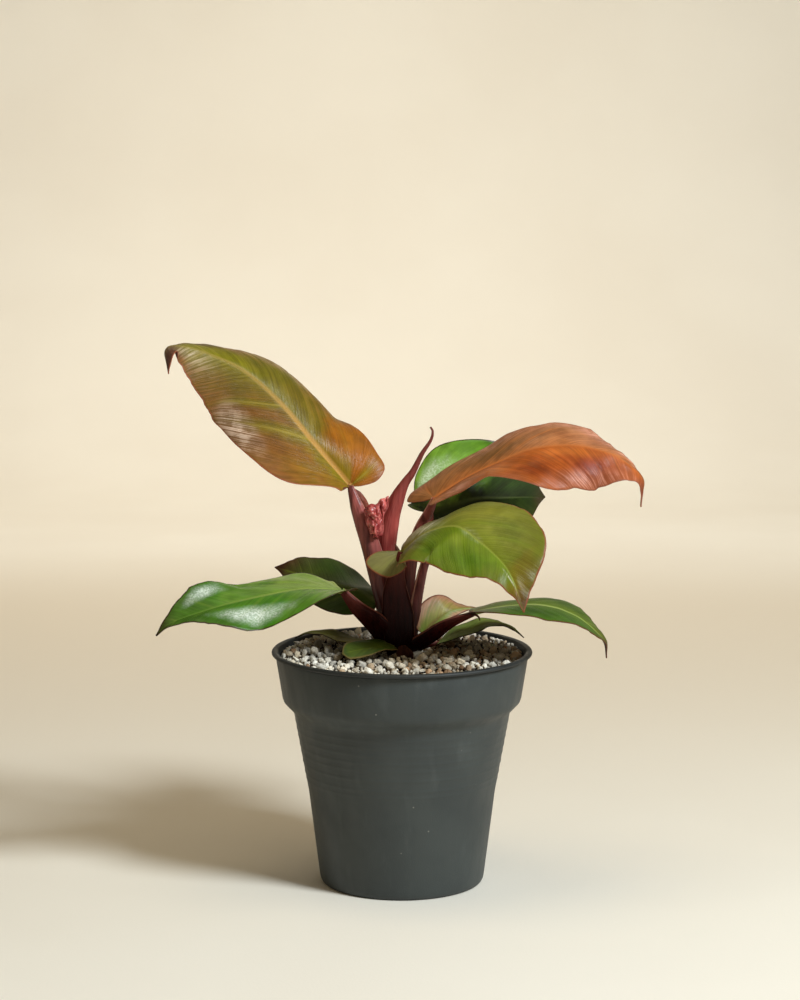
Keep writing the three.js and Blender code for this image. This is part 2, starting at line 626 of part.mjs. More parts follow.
// Route of a stalk, which ends just short of the base of the leaf that it carries
function stalkRoute({ path, to, joint }) {
  if (!to) return path;
  const base = vector(LEAVES[to].midrib[0]);
  const leg = base.clone().sub(vector(path[path.length - 1])).setLength(joint);
  return [...path, base.sub(leg).toArray()];
}

// Points round a stalk at a share of its length: rounded outside, nearly flat inside, and grown evenly
function stalkRing(stalk, curve, share, grow) {
  const { point, tangent, facing, across } = frameAt(curve, share, stalk.out);
  if (share === 0 || share === 1) point.addScaledVector(tangent, grow * Math.sign(share - 0.5));
  const width = along(stalk.widths, share) / 2 + grow;
  const depth = along(stalk.depths, share) / 2;
  return Array.from({ length: STALK_SIDES }, (_, side) => {
    const angle = (side / STALK_SIDES) * TURN;
    const wing = side === STALK_SIDES / 2 ? along(stalk.wing ?? [0, 0], share) : 0;
    const roundness = Math.sin(angle) > 0 ? 1 : STALK_FLATNESS;
    return point.clone().addScaledVector(across, Math.cos(angle) * width - wing)
      .addScaledVector(facing, Math.sin(angle) * (depth * roundness + grow));
  });
}

function stalkGeometry(stalk, grow = 0) {
  const route = stalkRoute(stalk);
  const curve = curveThrough(route);
  const rings = (route.length - 1) * SPAN_RINGS;
  const points = Array.from({ length: rings + 1 }, (_, i) => stalkRing(stalk, curve, i / rings, grow)).flat();
  const at = (ring, side) => ring * STALK_SIDES + (side % STALK_SIDES);
  const triangles = [];
  for (let ring = 0; ring < rings; ring += 1) {
    for (let side = 0; side < STALK_SIDES; side += 1) {
      const [a, b, c, d] = [at(ring, side), at(ring, side + 1), at(ring + 1, side + 1), at(ring + 1, side)];
      triangles.push([a, b, c], [a, c, d]);
    }
  }
  for (let side = 1; side < STALK_SIDES - 1; side += 1) {
    triangles.push([at(0, 0), at(0, side + 1), at(0, side)]);
    triangles.push([at(rings, 0), at(rings, side), at(rings, side + 1)]);
  }
  return solidGeometry(points, triangles);
}

// Point of the cataphyll at shares across and along it, both from -0.5 to 0.5
function cataphyllPoint(u, v, offset) {
  const [width, height] = CATAPHYLL_SIZE;
  const taper = 1 - CATAPHYLL_TAPER * Math.abs(v - CATAPHYLL_WIDEST);
  const crease = CATAPHYLL_FOLDS.reduce((sum, [depth, across, up]) => (
    sum + depth * Math.sin(across * u + up * v)), 0);
  return vector([(u * taper + CATAPHYLL_LEAN * v) * width, crease + offset, v * height])
    .add(vector(CATAPHYLL_CENTRE));
}

// Crumpled sheet with both faces split alike
function cataphyllGeometry() {
  const cells = CATAPHYLL_CELLS;
  const faces = [-BLADE / 2, BLADE / 2].map((offset) => (
    Array.from({ length: (cells + 1) ** 2 }, (_, i) => {
      const [u, v] = [i % (cells + 1), Math.floor(i / (cells + 1))];
      return cataphyllPoint(u / cells - 0.5, v / cells - 0.5, offset);
    })));
  const triangles = [];
  for (let row = 0; row < cells; row += 1) {
    for (let k = 0; k < cells; k += 1) {
      const a = row * (cells + 1) + k;
      triangles.push([a, a + 1, a + cells + 2], [a, a + cells + 2, a + cells + 1]);
    }
  }
  return sheetGeometry(...faces, triangles);
}

const group = new THREE.Group();

function addPiece(name, geometry, color, roughness) {
  geometry.computeVertexNormals();
  const piece = new THREE.Mesh(geometry, new THREE.MeshStandardMaterial({ color, roughness, metalness: 0 }));
  piece.name = name;
  group.add(piece);
}

function preparedLeaf(leaf) {
  const curve = curveThrough(leaf.midrib);
  curve.arcLengthDivisions = CURVE_DIVISIONS;
  return { ...leaf, curve, length: curve.getLength() };
}

// Solids that together fill the room that a thin blade needs
function roomOf(solid) {
  const signs = [-1, 0, 1];
  const moves = signs.flatMap((x) => signs.flatMap((y) => signs.map((z) => vector([x, y, z]))));
  return moves.filter((move) => ROOM_MOVES.includes(move.lengthSq()))
    .map((move) => solid.translate(move.setLength(GAP * ROOM).toArray()));
}

// Adds a piece, cut clear of the room that other pieces have taken
function addInRoom(taken, name, geometry, color, roughness) {
  const free = taken.reduce((solid, other) => solid.subtract(other), toManifold(geometry));
  addPiece(name, fromManifold(largestPart(free)), color, roughness);
}

// Crown, blades and stalks, in the order in which they take their room
function addFoliage(leaves) {
  const taken = [toManifold(stemGeometry(GAP))];
  addPiece('stem', stemGeometry(), SHADE.stem, STALK_ROUGHNESS);
  for (const [name, leaf] of leaves.filter(([, { trimmed }]) => !trimmed)) {
    const geometry = bladeGeometry(leaf);
    taken.push(...roomOf(toManifold(geometry)));
    addPiece(name, geometry, leaf.shade, BLADE_ROUGHNESS);
  }
  for (const [name, stalk] of Object.entries(STALKS)) {
    addInRoom(taken, name, stalkGeometry(stalk), stalk.shade, STALK_ROUGHNESS);
    taken.push(toManifold(stalkGeometry(stalk, GAP)));
  }
  for (const [name, leaf] of leaves.filter(([, { trimmed }]) => trimmed)) {
    addInRoom(taken, name, bladeGeometry(leaf), leaf.shade, BLADE_ROUGHNESS);
  }
  addInRoom(taken, 'cataphyll', cataphyllGeometry(), SHADE.cataphyll, STALK_ROUGHNESS);
}

const leaves = Object.entries(LEAVES).map(([key, leaf]) => [`blade_${key}`, preparedLeaf(leaf)]);
const foliagePoints = leaves.flatMap(([, leaf]) => bladeSurface(leaf).points);
addFoliage(leaves);
addPiece('pumice_top_dressing', pumiceGeometry(foliagePoints), SHADE.pumice, PUMICE_ROUGHNESS);
addPiece('potting_mix', mixGeometry(), SHADE.mix, MIX_ROUGHNESS);
addPiece('pot', potGeometry(), SHADE.pot, POT_ROUGHNESS);

export default group;
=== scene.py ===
"""A young sun red philodendron in its nursery pot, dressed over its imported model.

Sizes and places are in millimetres, in the model's own frame, and MM turns them into metres.
"""

import math

import bpy
import numpy as np
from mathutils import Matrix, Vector


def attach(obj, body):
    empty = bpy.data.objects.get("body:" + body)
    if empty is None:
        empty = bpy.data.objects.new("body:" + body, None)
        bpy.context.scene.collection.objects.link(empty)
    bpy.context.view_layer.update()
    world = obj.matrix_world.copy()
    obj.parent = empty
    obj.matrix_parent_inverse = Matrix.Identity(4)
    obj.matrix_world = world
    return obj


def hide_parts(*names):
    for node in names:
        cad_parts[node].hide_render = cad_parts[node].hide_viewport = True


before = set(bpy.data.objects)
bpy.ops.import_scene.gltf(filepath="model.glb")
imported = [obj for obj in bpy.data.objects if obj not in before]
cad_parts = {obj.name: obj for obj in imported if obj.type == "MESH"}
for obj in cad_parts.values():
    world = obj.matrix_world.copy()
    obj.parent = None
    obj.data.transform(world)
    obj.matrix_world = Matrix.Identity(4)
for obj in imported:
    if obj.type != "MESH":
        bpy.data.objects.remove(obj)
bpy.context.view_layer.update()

MM = 0.001
BODY = "root"
RNG = np.random.default_rng(20)
TURN = 2 * math.pi

# Camera: where it stands, how far it looks down, and its lens
CAMERA_PLACE = (-0.9, -1133, 329)
CAMERA_PITCH = 7.6
CAMERA_LENS = 112.5
CAMERA_SENSOR = 36

# Pot profile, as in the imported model
RIM_HEIGHT = 108.6
RIM_RADIUS = 60
COLLAR_TOP_RADIUS = 58.2
COLLAR_FOOT = 86.2
COLLAR_FOOT_RADIUS = 55.1
BODY_TOP = 80.4
BODY_TOP_RADIUS = 50
BODY_WAIST = 43
BODY_WAIST_RADIUS = 43.2
BODY_FOOT = 3
BODY_FOOT_RADIUS = 38.2
FOOT_RADIUS = 36.8
WALL = 1.2
FLOOR = 1.8
LIP = 1.9
DRAIN_COUNT = 6
DRAIN_RADIUS = 3.4
DRAIN_RING = 25
DRAIN_SIDES = 40
DRAIN_DEPTH = 10
POT_SIDES = 192
POT_SHARP_ANGLE = 35
POT_RIBS = [(76, 0.1), (72.5, 0.12), (69, 0.12), (65, 0.14), (61.5, 0.12), (57, 0.16), (52, 0.14), (49, 0.1)]
RIB_WIDTH = 0.7

# Top dressing
BED_TOP = 103.9
BED_MOUND = 2.3
BED_BACK_RISE = 2.4
BED_SIDE_RISE = 0.9
BED_RADIUS = 56.2
BED_RINGS = 60
BED_SIDES = 220
STEM_CLEARANCE = 6.5
TRIES = 60
BED_SINK = 0.8
BED_DEPTH = 3
BED_BUMPS = 0.28
BED_WAVES = 0.3

# Places nearly free of stones, where the dark mix shows, partly as painted shade: middle, half sizes and how
# free
BARE_AND_SHADED_PLACES = [(36, 34, 20, 15, 0.9), (-33, 11, 13, 10, 0.85), (4, -12, 14, 6, 0.5)]

# Stones and crumbs: how many, radius from and to, and how near they may come
LARGE_STONES = (130, (2, 2.9), 0.9)
MEDIUM_STONES = (430, (1.35, 2), 0.88)
SMALL_STONES = (1100, (0.6, 1.25), 0.8)
CRUMBS = (1100, (0.4, 1.1), 0.4)
LUMP_WAVES = 9
LUMP_PACE = (2.5, 7)
TAN_PLACE = 18
TAN_WIDTH = 14
TAN_SHARE = 0.26

# What all blades share
BEND_SPAN = 25
MARGIN_SHARE = [0.04, 0.14, 0.28, 0.44, 0.60, 0.74, 0.85, 0.93]
VEIN_SHARE = [0.00, 0.05, 0.15, 0.28, 0.43, 0.58, 0.73, 0.86]
LOBE_ROUND = [(0, 0), (-0.55, 0.2), (-1, 0.55), (-0.55, 0.9)]
EAR_ROUND = [(0, 0), (-0.62, 0.03), (-1.02, 0.5), (-0.6, 1.0)]
FIRST_RAY = 0.035
RAY_CURVE = 1.25
STEP_CURVE = 1.15
NARROWEST = 0.12
WAVE_LENGTHS = (34, 21, 13, 8)
WAVES_EACH = 3
WAVE_DEPTH = 0.42
QUILT_DEPTH = 0.1
GROOVE_DEPTH = 0.32
KEEL_HEIGHT = 1.15
EDGE_SHARE = 0.65
EDGE_SPAN = 2.5
BLADE_THICKNESS = 0.5
ROUTE_SAMPLES = 241
VEIN_SLANT = 1.15
VEIN_SWEEP = 0.55
LOBE_RADIUS = 17
VEIN_WOBBLE = 0.16

# Blades: midrib, where the upper side looks along it, and each half's widths, lobe, folds and bends
LEAVES = {
    "a": dict(
        midrib=[(-24, 2, 184), (-39, 4, 202), (-55, 8, 221), (-72, 10, 236), (-88, 8, 244), (-100, 4, 248),
                (-107, 0, 247), (-106, -3, 236)],
        faces=[(0.25, -0.85, 0.45), (0.15, -0.8, 0.5), (0, -0.75, 0.6), (-0.1, -0.6, 0.7), (-0.9, -0.4, 0.3)],
        right=([21, 26, 31, 27, 21, 13, 8, 4.5], 6, [30, 0, 5, -15, -45], [-45, -80, -55]),
        left=([15, 27.5, 28, 28, 26, 17, 9, 5], -1.5, [50, 10, -15, -30, -20], [-5, -20, -25]),
        rows=110, steps=24, vein_gap=21, slot="bronze_leaf"),
    "b": dict(
        midrib=[(15, -2, 179), (29, -2, 188), (45, -4, 196), (59, -6, 202), (74, -8, 204), (85, -10, 203),
                (97, -12, 199), (108, -14, 190), (108, -16, 177)],
        faces=[(0.1, -0.75, 0.6), (0, -0.7, 0.7), (0.05, -0.65, 0.75), (0.3, -0.5, 0.75), (0.9, -0.2, 0.2)],
        right=([18, 24, 21, 25, 22, 18, 8, 3], 3, [60, 50, 5, -30, 0], [-5, -25, -35]),
        left=([19, 23, 24, 21, 22, 12, 6, 2], 12, [-25, -20, -15, -20, -15], [-40, -5, -5]),
        rows=110, steps=24, vein_gap=19, slot="copper_leaf"),
    "c": dict(
        midrib=[(13, 15, 170), (23, 24, 172), (35, 34, 174), (47, 44, 173), (58, 54, 172), (69, 62, 171)],
        faces=[(0.1, -0.5, 0.85), (0.1, -0.5, 0.85), (0.2, -0.5, 0.85)],
        right=([17, 23, 24, 23, 20, 16, 10, 4], 7, [-45, -45, -45, -35, -25], [-10, -10, -5]),
        left=([14, 23, 29, 28, 25, 19, 13, 5], 4, [-10, 30, 55, 75, 80], [-10, 5, 15]),
        rows=90, steps=24, vein_gap=15, slot="green_leaf"),
    "d": dict(
        midrib=[(0, -8, 155), (10, -18, 165), (24, -30, 170), (34, -42, 165), (43, -52, 158), (48, -58, 151),
                (53, -62, 137)],
        faces=[(0, -0.5, 0.85), (0, -0.5, 0.85), (0.3, -0.6, 0.75), (0.6, -0.6, 0.5)],
        right=([7, 24, 25, 24, 20, 13, 6, 2], 18.5, [5, 5, -20, -25, -20], [0, -10, -15]),
        left=([11, 22, 22, 24, 26, 23, 12, 5], 3, [20, 10, 30, 35, 35], [-95, -25, -10]),
        ear=dict(back=(0.99, 0, -0.03), width=13.5, fold=-50, bend=0),
        rows=100, steps=24, vein_gap=17, slot="olive_leaf"),
    "e": dict(
        midrib=[(-27, -8, 137), (-44, -14, 139), (-62, -20, 137), (-78, -25, 134), (-93, -29, 130),
                (-104, -31, 126), (-110, -32, 121)],
        faces=[(-0.1, -0.4, 0.9), (-0.1, -0.4, 0.9), (-0.2, -0.45, 0.85), (-0.5, -0.4, 0.7)],
        right=([16, 23, 22, 21, 18, 15, 8, 3], 0, [-15, -10, -5, 30, 35], [5, -20, -15]),
        left=([17, 21, 22, 21, 19, 11, 5, 2], 3, [35, 15, -5, 10, 5], [0, -20, -20]),
        rows=90, steps=22, vein_gap=14, slot="green_leaf"),
    "f": dict(
        midrib=[(-11, 7, 129), (-21, 15, 134), (-33, 26, 135), (-45, 38, 136), (-54, 48, 137),
                (-61, 54, 138)],
        faces=[(-0.1, -0.5, 0.85), (-0.1, -0.5, 0.85), (-0.2, -0.5, 0.8)],
        right=([14, 21, 21, 22, 18, 12, 8, 3], 1, [-5, -25, 0, 20, 45], [-60, -45, -25]),
        left=([9, 14, 15, 13, 11, 8, 5, 2], 1, [-20, -20, -25, -30, -30], [0, -5, -10]),
        rows=80, steps=18, vein_gap=10, slot="dark_leaf"),
    "g": dict(
        midrib=[(33, -8, 127), (44, -12, 130), (59, -16, 132), (69, -18, 131), (75, -19, 129), (81, -20, 126),
                (88, -20, 120), (92, -19, 115), (93, -18, 108)],
        faces=[(0, -0.35, 0.95), (0.1, -0.35, 0.95), (0.3, -0.35, 0.9), (0.7, -0.4, 0.5)],
        right=([15, 20, 21, 19, 17, 10, 5, 2], 4, [30, 25, 15, 20, 20], [-10, -15, -20]),
        left=([15, 20, 21, 20, 16, 10, 5, 2], 5, [-10, -10, -5, -5, -10], [-25, -30, -15]),
        rows=80, steps=18, vein_gap=10, slot="green_leaf"),
    "h": dict(
        midrib=[(17, 8, 110), (25, 10, 114), (33, 12, 116), (39, 13, 118), (46, 14, 118), (51, 15, 116),
                (57, 16, 111)],
        faces=[(0.1, -0.5, 0.85), (0.1, -0.5, 0.85), (0.3, -0.5, 0.8)],
        right=([8, 10, 11, 10, 8, 5, 3, 1], 2, [45, 35, 35, 30, 15], [-10, -10, -15]),
        left=([8, 10, 11, 10, 8, 5, 3, 1], 2, [-45, -25, -20, -30, -25], [-30, -20, -25]),
        rows=60, steps=12, vein_gap=7, slot="dark_leaf"),
    "i": dict(
        midrib=[(-18, 2, 111), (-24, 4, 112), (-31, 7, 113), (-38, 10, 114), (-44, 13, 114), (-50, 15, 111)],
        faces=[(-0.1, -0.5, 0.85), (-0.1, -0.5, 0.85), (-0.2, -0.5, 0.85)],
        right=([6, 8, 9, 8, 7, 4, 2, 1], 1, [-25, -30, -15, -30, -35], [-30, -25, -25]),
        left=([6, 8, 9, 8, 7, 5, 2, 1], 1, [35, 35, 45, 30, 15], [-10, -10, -15]),
        rows=50, steps=12, vein_gap=6, slot="olive_leaf"),
    "j": dict(
        midrib=[(-3, -10.5, 111), (-9, -12, 112), (-15, -14, 111.5), (-21, -17, 111), (-27, -19, 110)],
        faces=[(-0.1, -0.6, 0.8), (-0.1, -0.6, 0.8), (-0.2, -0.6, 0.8)],
        right=([4, 6, 8, 8, 8, 7, 6, 4], 0, [-15, -15, -10, 0, 10], [-25, -25, -25]),
        left=([4, 6, 7, 7, 7, 6, 5, 4], 0, [35, 35, 25, 10, 0], [-10, -10, -15]),
        rows=50, steps=12, vein_gap=5, slot="dark_leaf"),
    "k": dict(
        midrib=[(10, 4, 115), (15, 7, 120), (21, 10, 124), (27, 13, 125), (35, 16, 125)],
        faces=[(0.1, -0.9, 0.4), (0, -0.9, 0.4), (0, -0.8, 0.5)],
        right=([3, 4, 4, 4, 3, 2, 1, 1], 1, [0, 0, 0, 0, 0], [0, 0, 0]),
        left=([6, 8, 10, 10, 8, 5, 2, 1], 1, [30, 15, 5, -35, -30], [-15, -15, -20]),
        rows=50, steps=14, vein_gap=5, slot="copper_leaf"),
}

# Petioles: route, where the rounded side looks, widths, then depths and how deep the inner channel is,
# or how far a sheath wraps round, in degrees, and how thick it is
STALKS = {
    "d": dict(
        path=[(-1, -4, 106), (-1, -6, 113), (-2, -7, 126), (-3, -8, 137), (-2, -9, 147)], out=[(0, -1, 0),
        (0, -1, 0)], widths=[11, 14, 15, 12, 7, 3.5], depths=[6, 6, 5.5, 5, 4.5, 3.5], channel=[0, 0.3, 0.6,
        0.6, 0.3, 0]),
    "e": dict(
        path=[(-3, -2, 107), (-6, -4, 114), (-12, -6, 122), (-20, -7.5, 129)], out=[(-0.2, -0.8, -0.5),
        (-0.2, -0.8, -0.5)], widths=[11, 13, 12, 8, 3.5], depths=[5, 5, 5, 4, 3], channel=[0, 0.4, 0.6, 0.4,
        0]),
    "g": dict(
        path=[(3, -2, 107), (7, -5, 112), (14, -7, 117), (21, -8, 122)], out=[(0.2, -0.8, -0.5),
        (0.1, -0.6, -0.8)], widths=[9, 9, 9, 6, 3], depths=[5, 5, 4.5, 4, 3], channel=[0, 0.4, 0.6, 0.4,
        0]),
    "a": dict(
        path=[(-4, 0, 106), (-7, 0, 124), (-12, 0, 143), (-16, 0, 158), (-20.5, 1, 172)],
        out=[(-0.7, -0.7, 0), (-0.85, -0.5, 0)], widths=[9, 10, 10.5, 10.5, 10, 9.5, 9, 7.5, 3.4], wrap=[90,
        100, 105, 110, 115, 115, 110, 100, 100], wall=[3.5, 3, 2, 1.4, 1.2, 1.1, 1.1, 1.2, 1.5]),
    "c": dict(
        path=[(3, 3, 106), (6, 6, 128), (9, 9, 142), (12, 12, 152), (13, 14, 161)], out=[(0.8, -0.3, 0),
        (0.5, -0.7, 0)], widths=[8, 8, 7, 5, 4, 3], depths=[6, 6, 5, 4, 3.5, 3], channel=[0, 0.5, 0.6, 0.3,
        0, 0]),
    "b": dict(
        path=[(1, 4, 107), (2, 5, 126), (3, 6.5, 140), (5, 8, 153), (8, 7, 163), (12, 3, 171.5)],
        out=[(0.6, -0.6, 0), (0.3, -0.8, -0.3)], widths=[7, 7, 7, 6.5, 6.5, 5.5, 3], depths=[6, 6, 5, 5,
        4.5, 4, 3], channel=[0, 0.5, 0.6, 0.6, 0.5, 0.3, 0]),
    "f": dict(
        path=[(-3, 3, 107), (-6, 5, 114), (-9, 6.5, 122)], out=[(-0.6, -0.3, -0.6), (-0.6, -0.3, -0.6)],
        widths=[6, 6, 5, 3], depths=[5, 4.5, 4, 3], channel=[0, 0.4, 0.3, 0]),
    "k": dict(
        path=[(4, 1, 107), (8, 3, 111)], out=[(0.5, -0.8, -0.4), (0.2, -0.9, -0.2)], widths=[5, 4, 2.4],
        depths=[4, 3.2, 2.4], channel=[0, 0.3, 0]),
    "h": dict(
        path=[(4, 4, 107), (10, 6, 109)], out=[(0.2, -0.6, -0.8), (0.2, -0.6, -0.8)], widths=[5, 4, 2.4],
        depths=[4, 3, 2.2], channel=[0, 0.3, 0]),
    "i": dict(
        path=[(-4, 1, 107), (-11, 1, 109.5)], out=[(-0.2, -0.6, -0.8), (-0.2, -0.6, -0.8)], widths=[5, 4,
        2.2], depths=[4, 3, 2], channel=[0, 0.3, 0]),
}

SPEAR = dict(
    path=[(-2, 3, 108), (-5, 3, 126), (-7, 3, 143), (-7, 3, 155), (-5, 3, 169), (-2, 2, 178), (1, 1, 185),
          (5, 0, 191), (9, 0, 199), (13, 1, 205), (14, 2, 209), (13, 3, 211)],
    out=[(0, -1, 0), (0, -1, 0)], widths=[7, 8, 9, 9, 9, 8.8, 8.6, 7, 4.5, 2.9, 1.9, 1],
    depths=[7, 7, 7, 7, 7, 6.8, 6.5, 5.4, 3.8, 2.6, 1.8, 1], wing=[0, 0, 0, 0, 2, 7, 3, 1, 0, 0, 0, 0])
SPEAR_RINGS = 150
SPEAR_SIDES = 64
SPEAR_TWIST = 2.2
SPEAR_ROLL = 0.16
SPEAR_SEAM = 0.02
STUB = dict(
    path=[(1, -7.5, 104), (1, -9.4, 107), (0, -10, 112)], out=[(0, -1, 0), (0, -1, 0)],
    widths=[8, 9, 3], depths=[2.4, 2.4, 1.6], channel=[0.3, 0.5, 0.2])
STUB_RINGS = 24
STALK_SIDES = 40
STALK_STEP = 0.8
LEAST_RINGS = 12
WING_EDGE = 0.35

# Thin dry pieces: skin, slot, thickness and path
TWIGS = dict(
    fallen_stalk=("dry_stalk", "dry_sheath", [0.6, 1, 1.1, 1, 0.8, 0.4],
                  [(12, 6.5, 109.6), (17, 7.5, 110.2), (23, 8.5, 110.4), (29, 9.5, 110)]),
    dry_hook=("dry_tip", "dry_sheath", [1.4, 1.2, 0.9, 0.5],
              [(31, -9, 126), (33.2, -9.5, 126.4), (35, -9.6, 125.2), (35.6, -9.6, 123.6)]),
    sheath_tip=("dry_tip", "dry_sheath", [3, 2.2, 1.3, 0.4],
                [(-1.6, -5.2, 153.5), (-2.2, -5.4, 156), (-3.2, -5.6, 158.4)]),
    sheath_wing=("sheath_edge", "petiole", [1.2, 3, 3.4, 3, 1.6],
                 [(-22.6, 3.4, 182.6), (-19.6, 4, 179.4), (-16.8, 3.8, 175), (-14.8, 3.2, 170)]))
TWIG_RINGS = 40
TWIG_SIDES = 12

# Skins of stalks and dry pieces: outer side, inner side, thin edge, dark foot, gloss, coat,
# then the colour at the top and where along the stalk the dark foot ends
SKINS = dict(
    petiole_skin=((58, 18, 16), (84, 36, 28), (132, 80, 68), (20, 3, 4), 0.26, 0.14, (94, 42, 34)),
    # petiole_pink's pale edge is partly the wings' own pale margin and partly a painted highlight along them
    petiole_pink=((168, 92, 86), (172, 100, 66), (224, 166, 146), (44, 12, 13), 0.3, 0.45, None, (0.1, 0.85)),
    spear_skin=((184, 88, 80), (150, 66, 60), (74, 26, 26), (122, 40, 40), 0.32, 0.45, (104, 52, 46)),
    dry_sheath_skin=((78, 44, 32), (84, 54, 36), (130, 94, 68), (48, 26, 20), 0.5, 0.2),
    dry_stalk=((176, 160, 130), (150, 130, 100), (200, 186, 160), (120, 100, 76), 0.6, 0.1),
    dry_tip=((112, 72, 56), (90, 58, 44), (130, 96, 74), (62, 36, 28), 0.5, 0.2),
    sheath_edge=((166, 96, 70), (150, 90, 64), (190, 130, 100), (112, 54, 44), 0.35, 0.3))

# Crumpled sheets of the cataphyll: lower left, lower right, upper left and upper right corners.
# A wave has its depth and how often it repeats across and upwards.
CATAPHYLL_SHEETS = dict(
    cataphyll_fine=[(-13.2, -3.6, 161.5), (-9.8, -3.2, 161.5), (-17.6, -3.8, 174), (-5.4, -3.4, 180.5)],
    cataphyll_tuck=[(-14.6, -5.2, 163.5), (-10.6, -4.8, 163), (-16.6, -4.6, 173.5), (-9.8, -5.6, 176.5)])
CATAPHYLL_WAVES = [(1.2, 6.2, -4.1), (0.9, 12.5, 7.3), (0.5, -14, 11), (0.3, 22, 19)]
CATAPHYLL_HALF = 0.22
CATAPHYLL_ROWS = 70
CATAPHYLL_COLUMNS = 60

# Backdrop in metres: half width, front, back, radius of its bend and height
STAGE_WIDTH = 3.2
STAGE_FRONT = -2.2
STAGE_BACK = 1.95
STAGE_BEND = 0.65
STAGE_HEIGHT = 2.9
STAGE_STEPS = 24

# Lights in metres: place, target, size, watts and colour
LIGHTS = dict(
    key=((1.08, -0.92, 1.36), (0, 0, 0.12), 0.5, 38, (0.88, 0.955, 1)),
    top=((-0.2, -0.1, 1.7), (0, 0, 0.1), 0.8, 4.6, (1, 0.82, 0.55)),
    wall_wash=((-0.15, 0.7, 1.7), (-0.1, 1.45, 0.1), 0.9, 4, (1, 0.9, 0.76)))
WASH_SPREAD = 84
WORLD_COLOUR = (1, 0.83, 0.58, 1)
WORLD_STRENGTH = 0.15
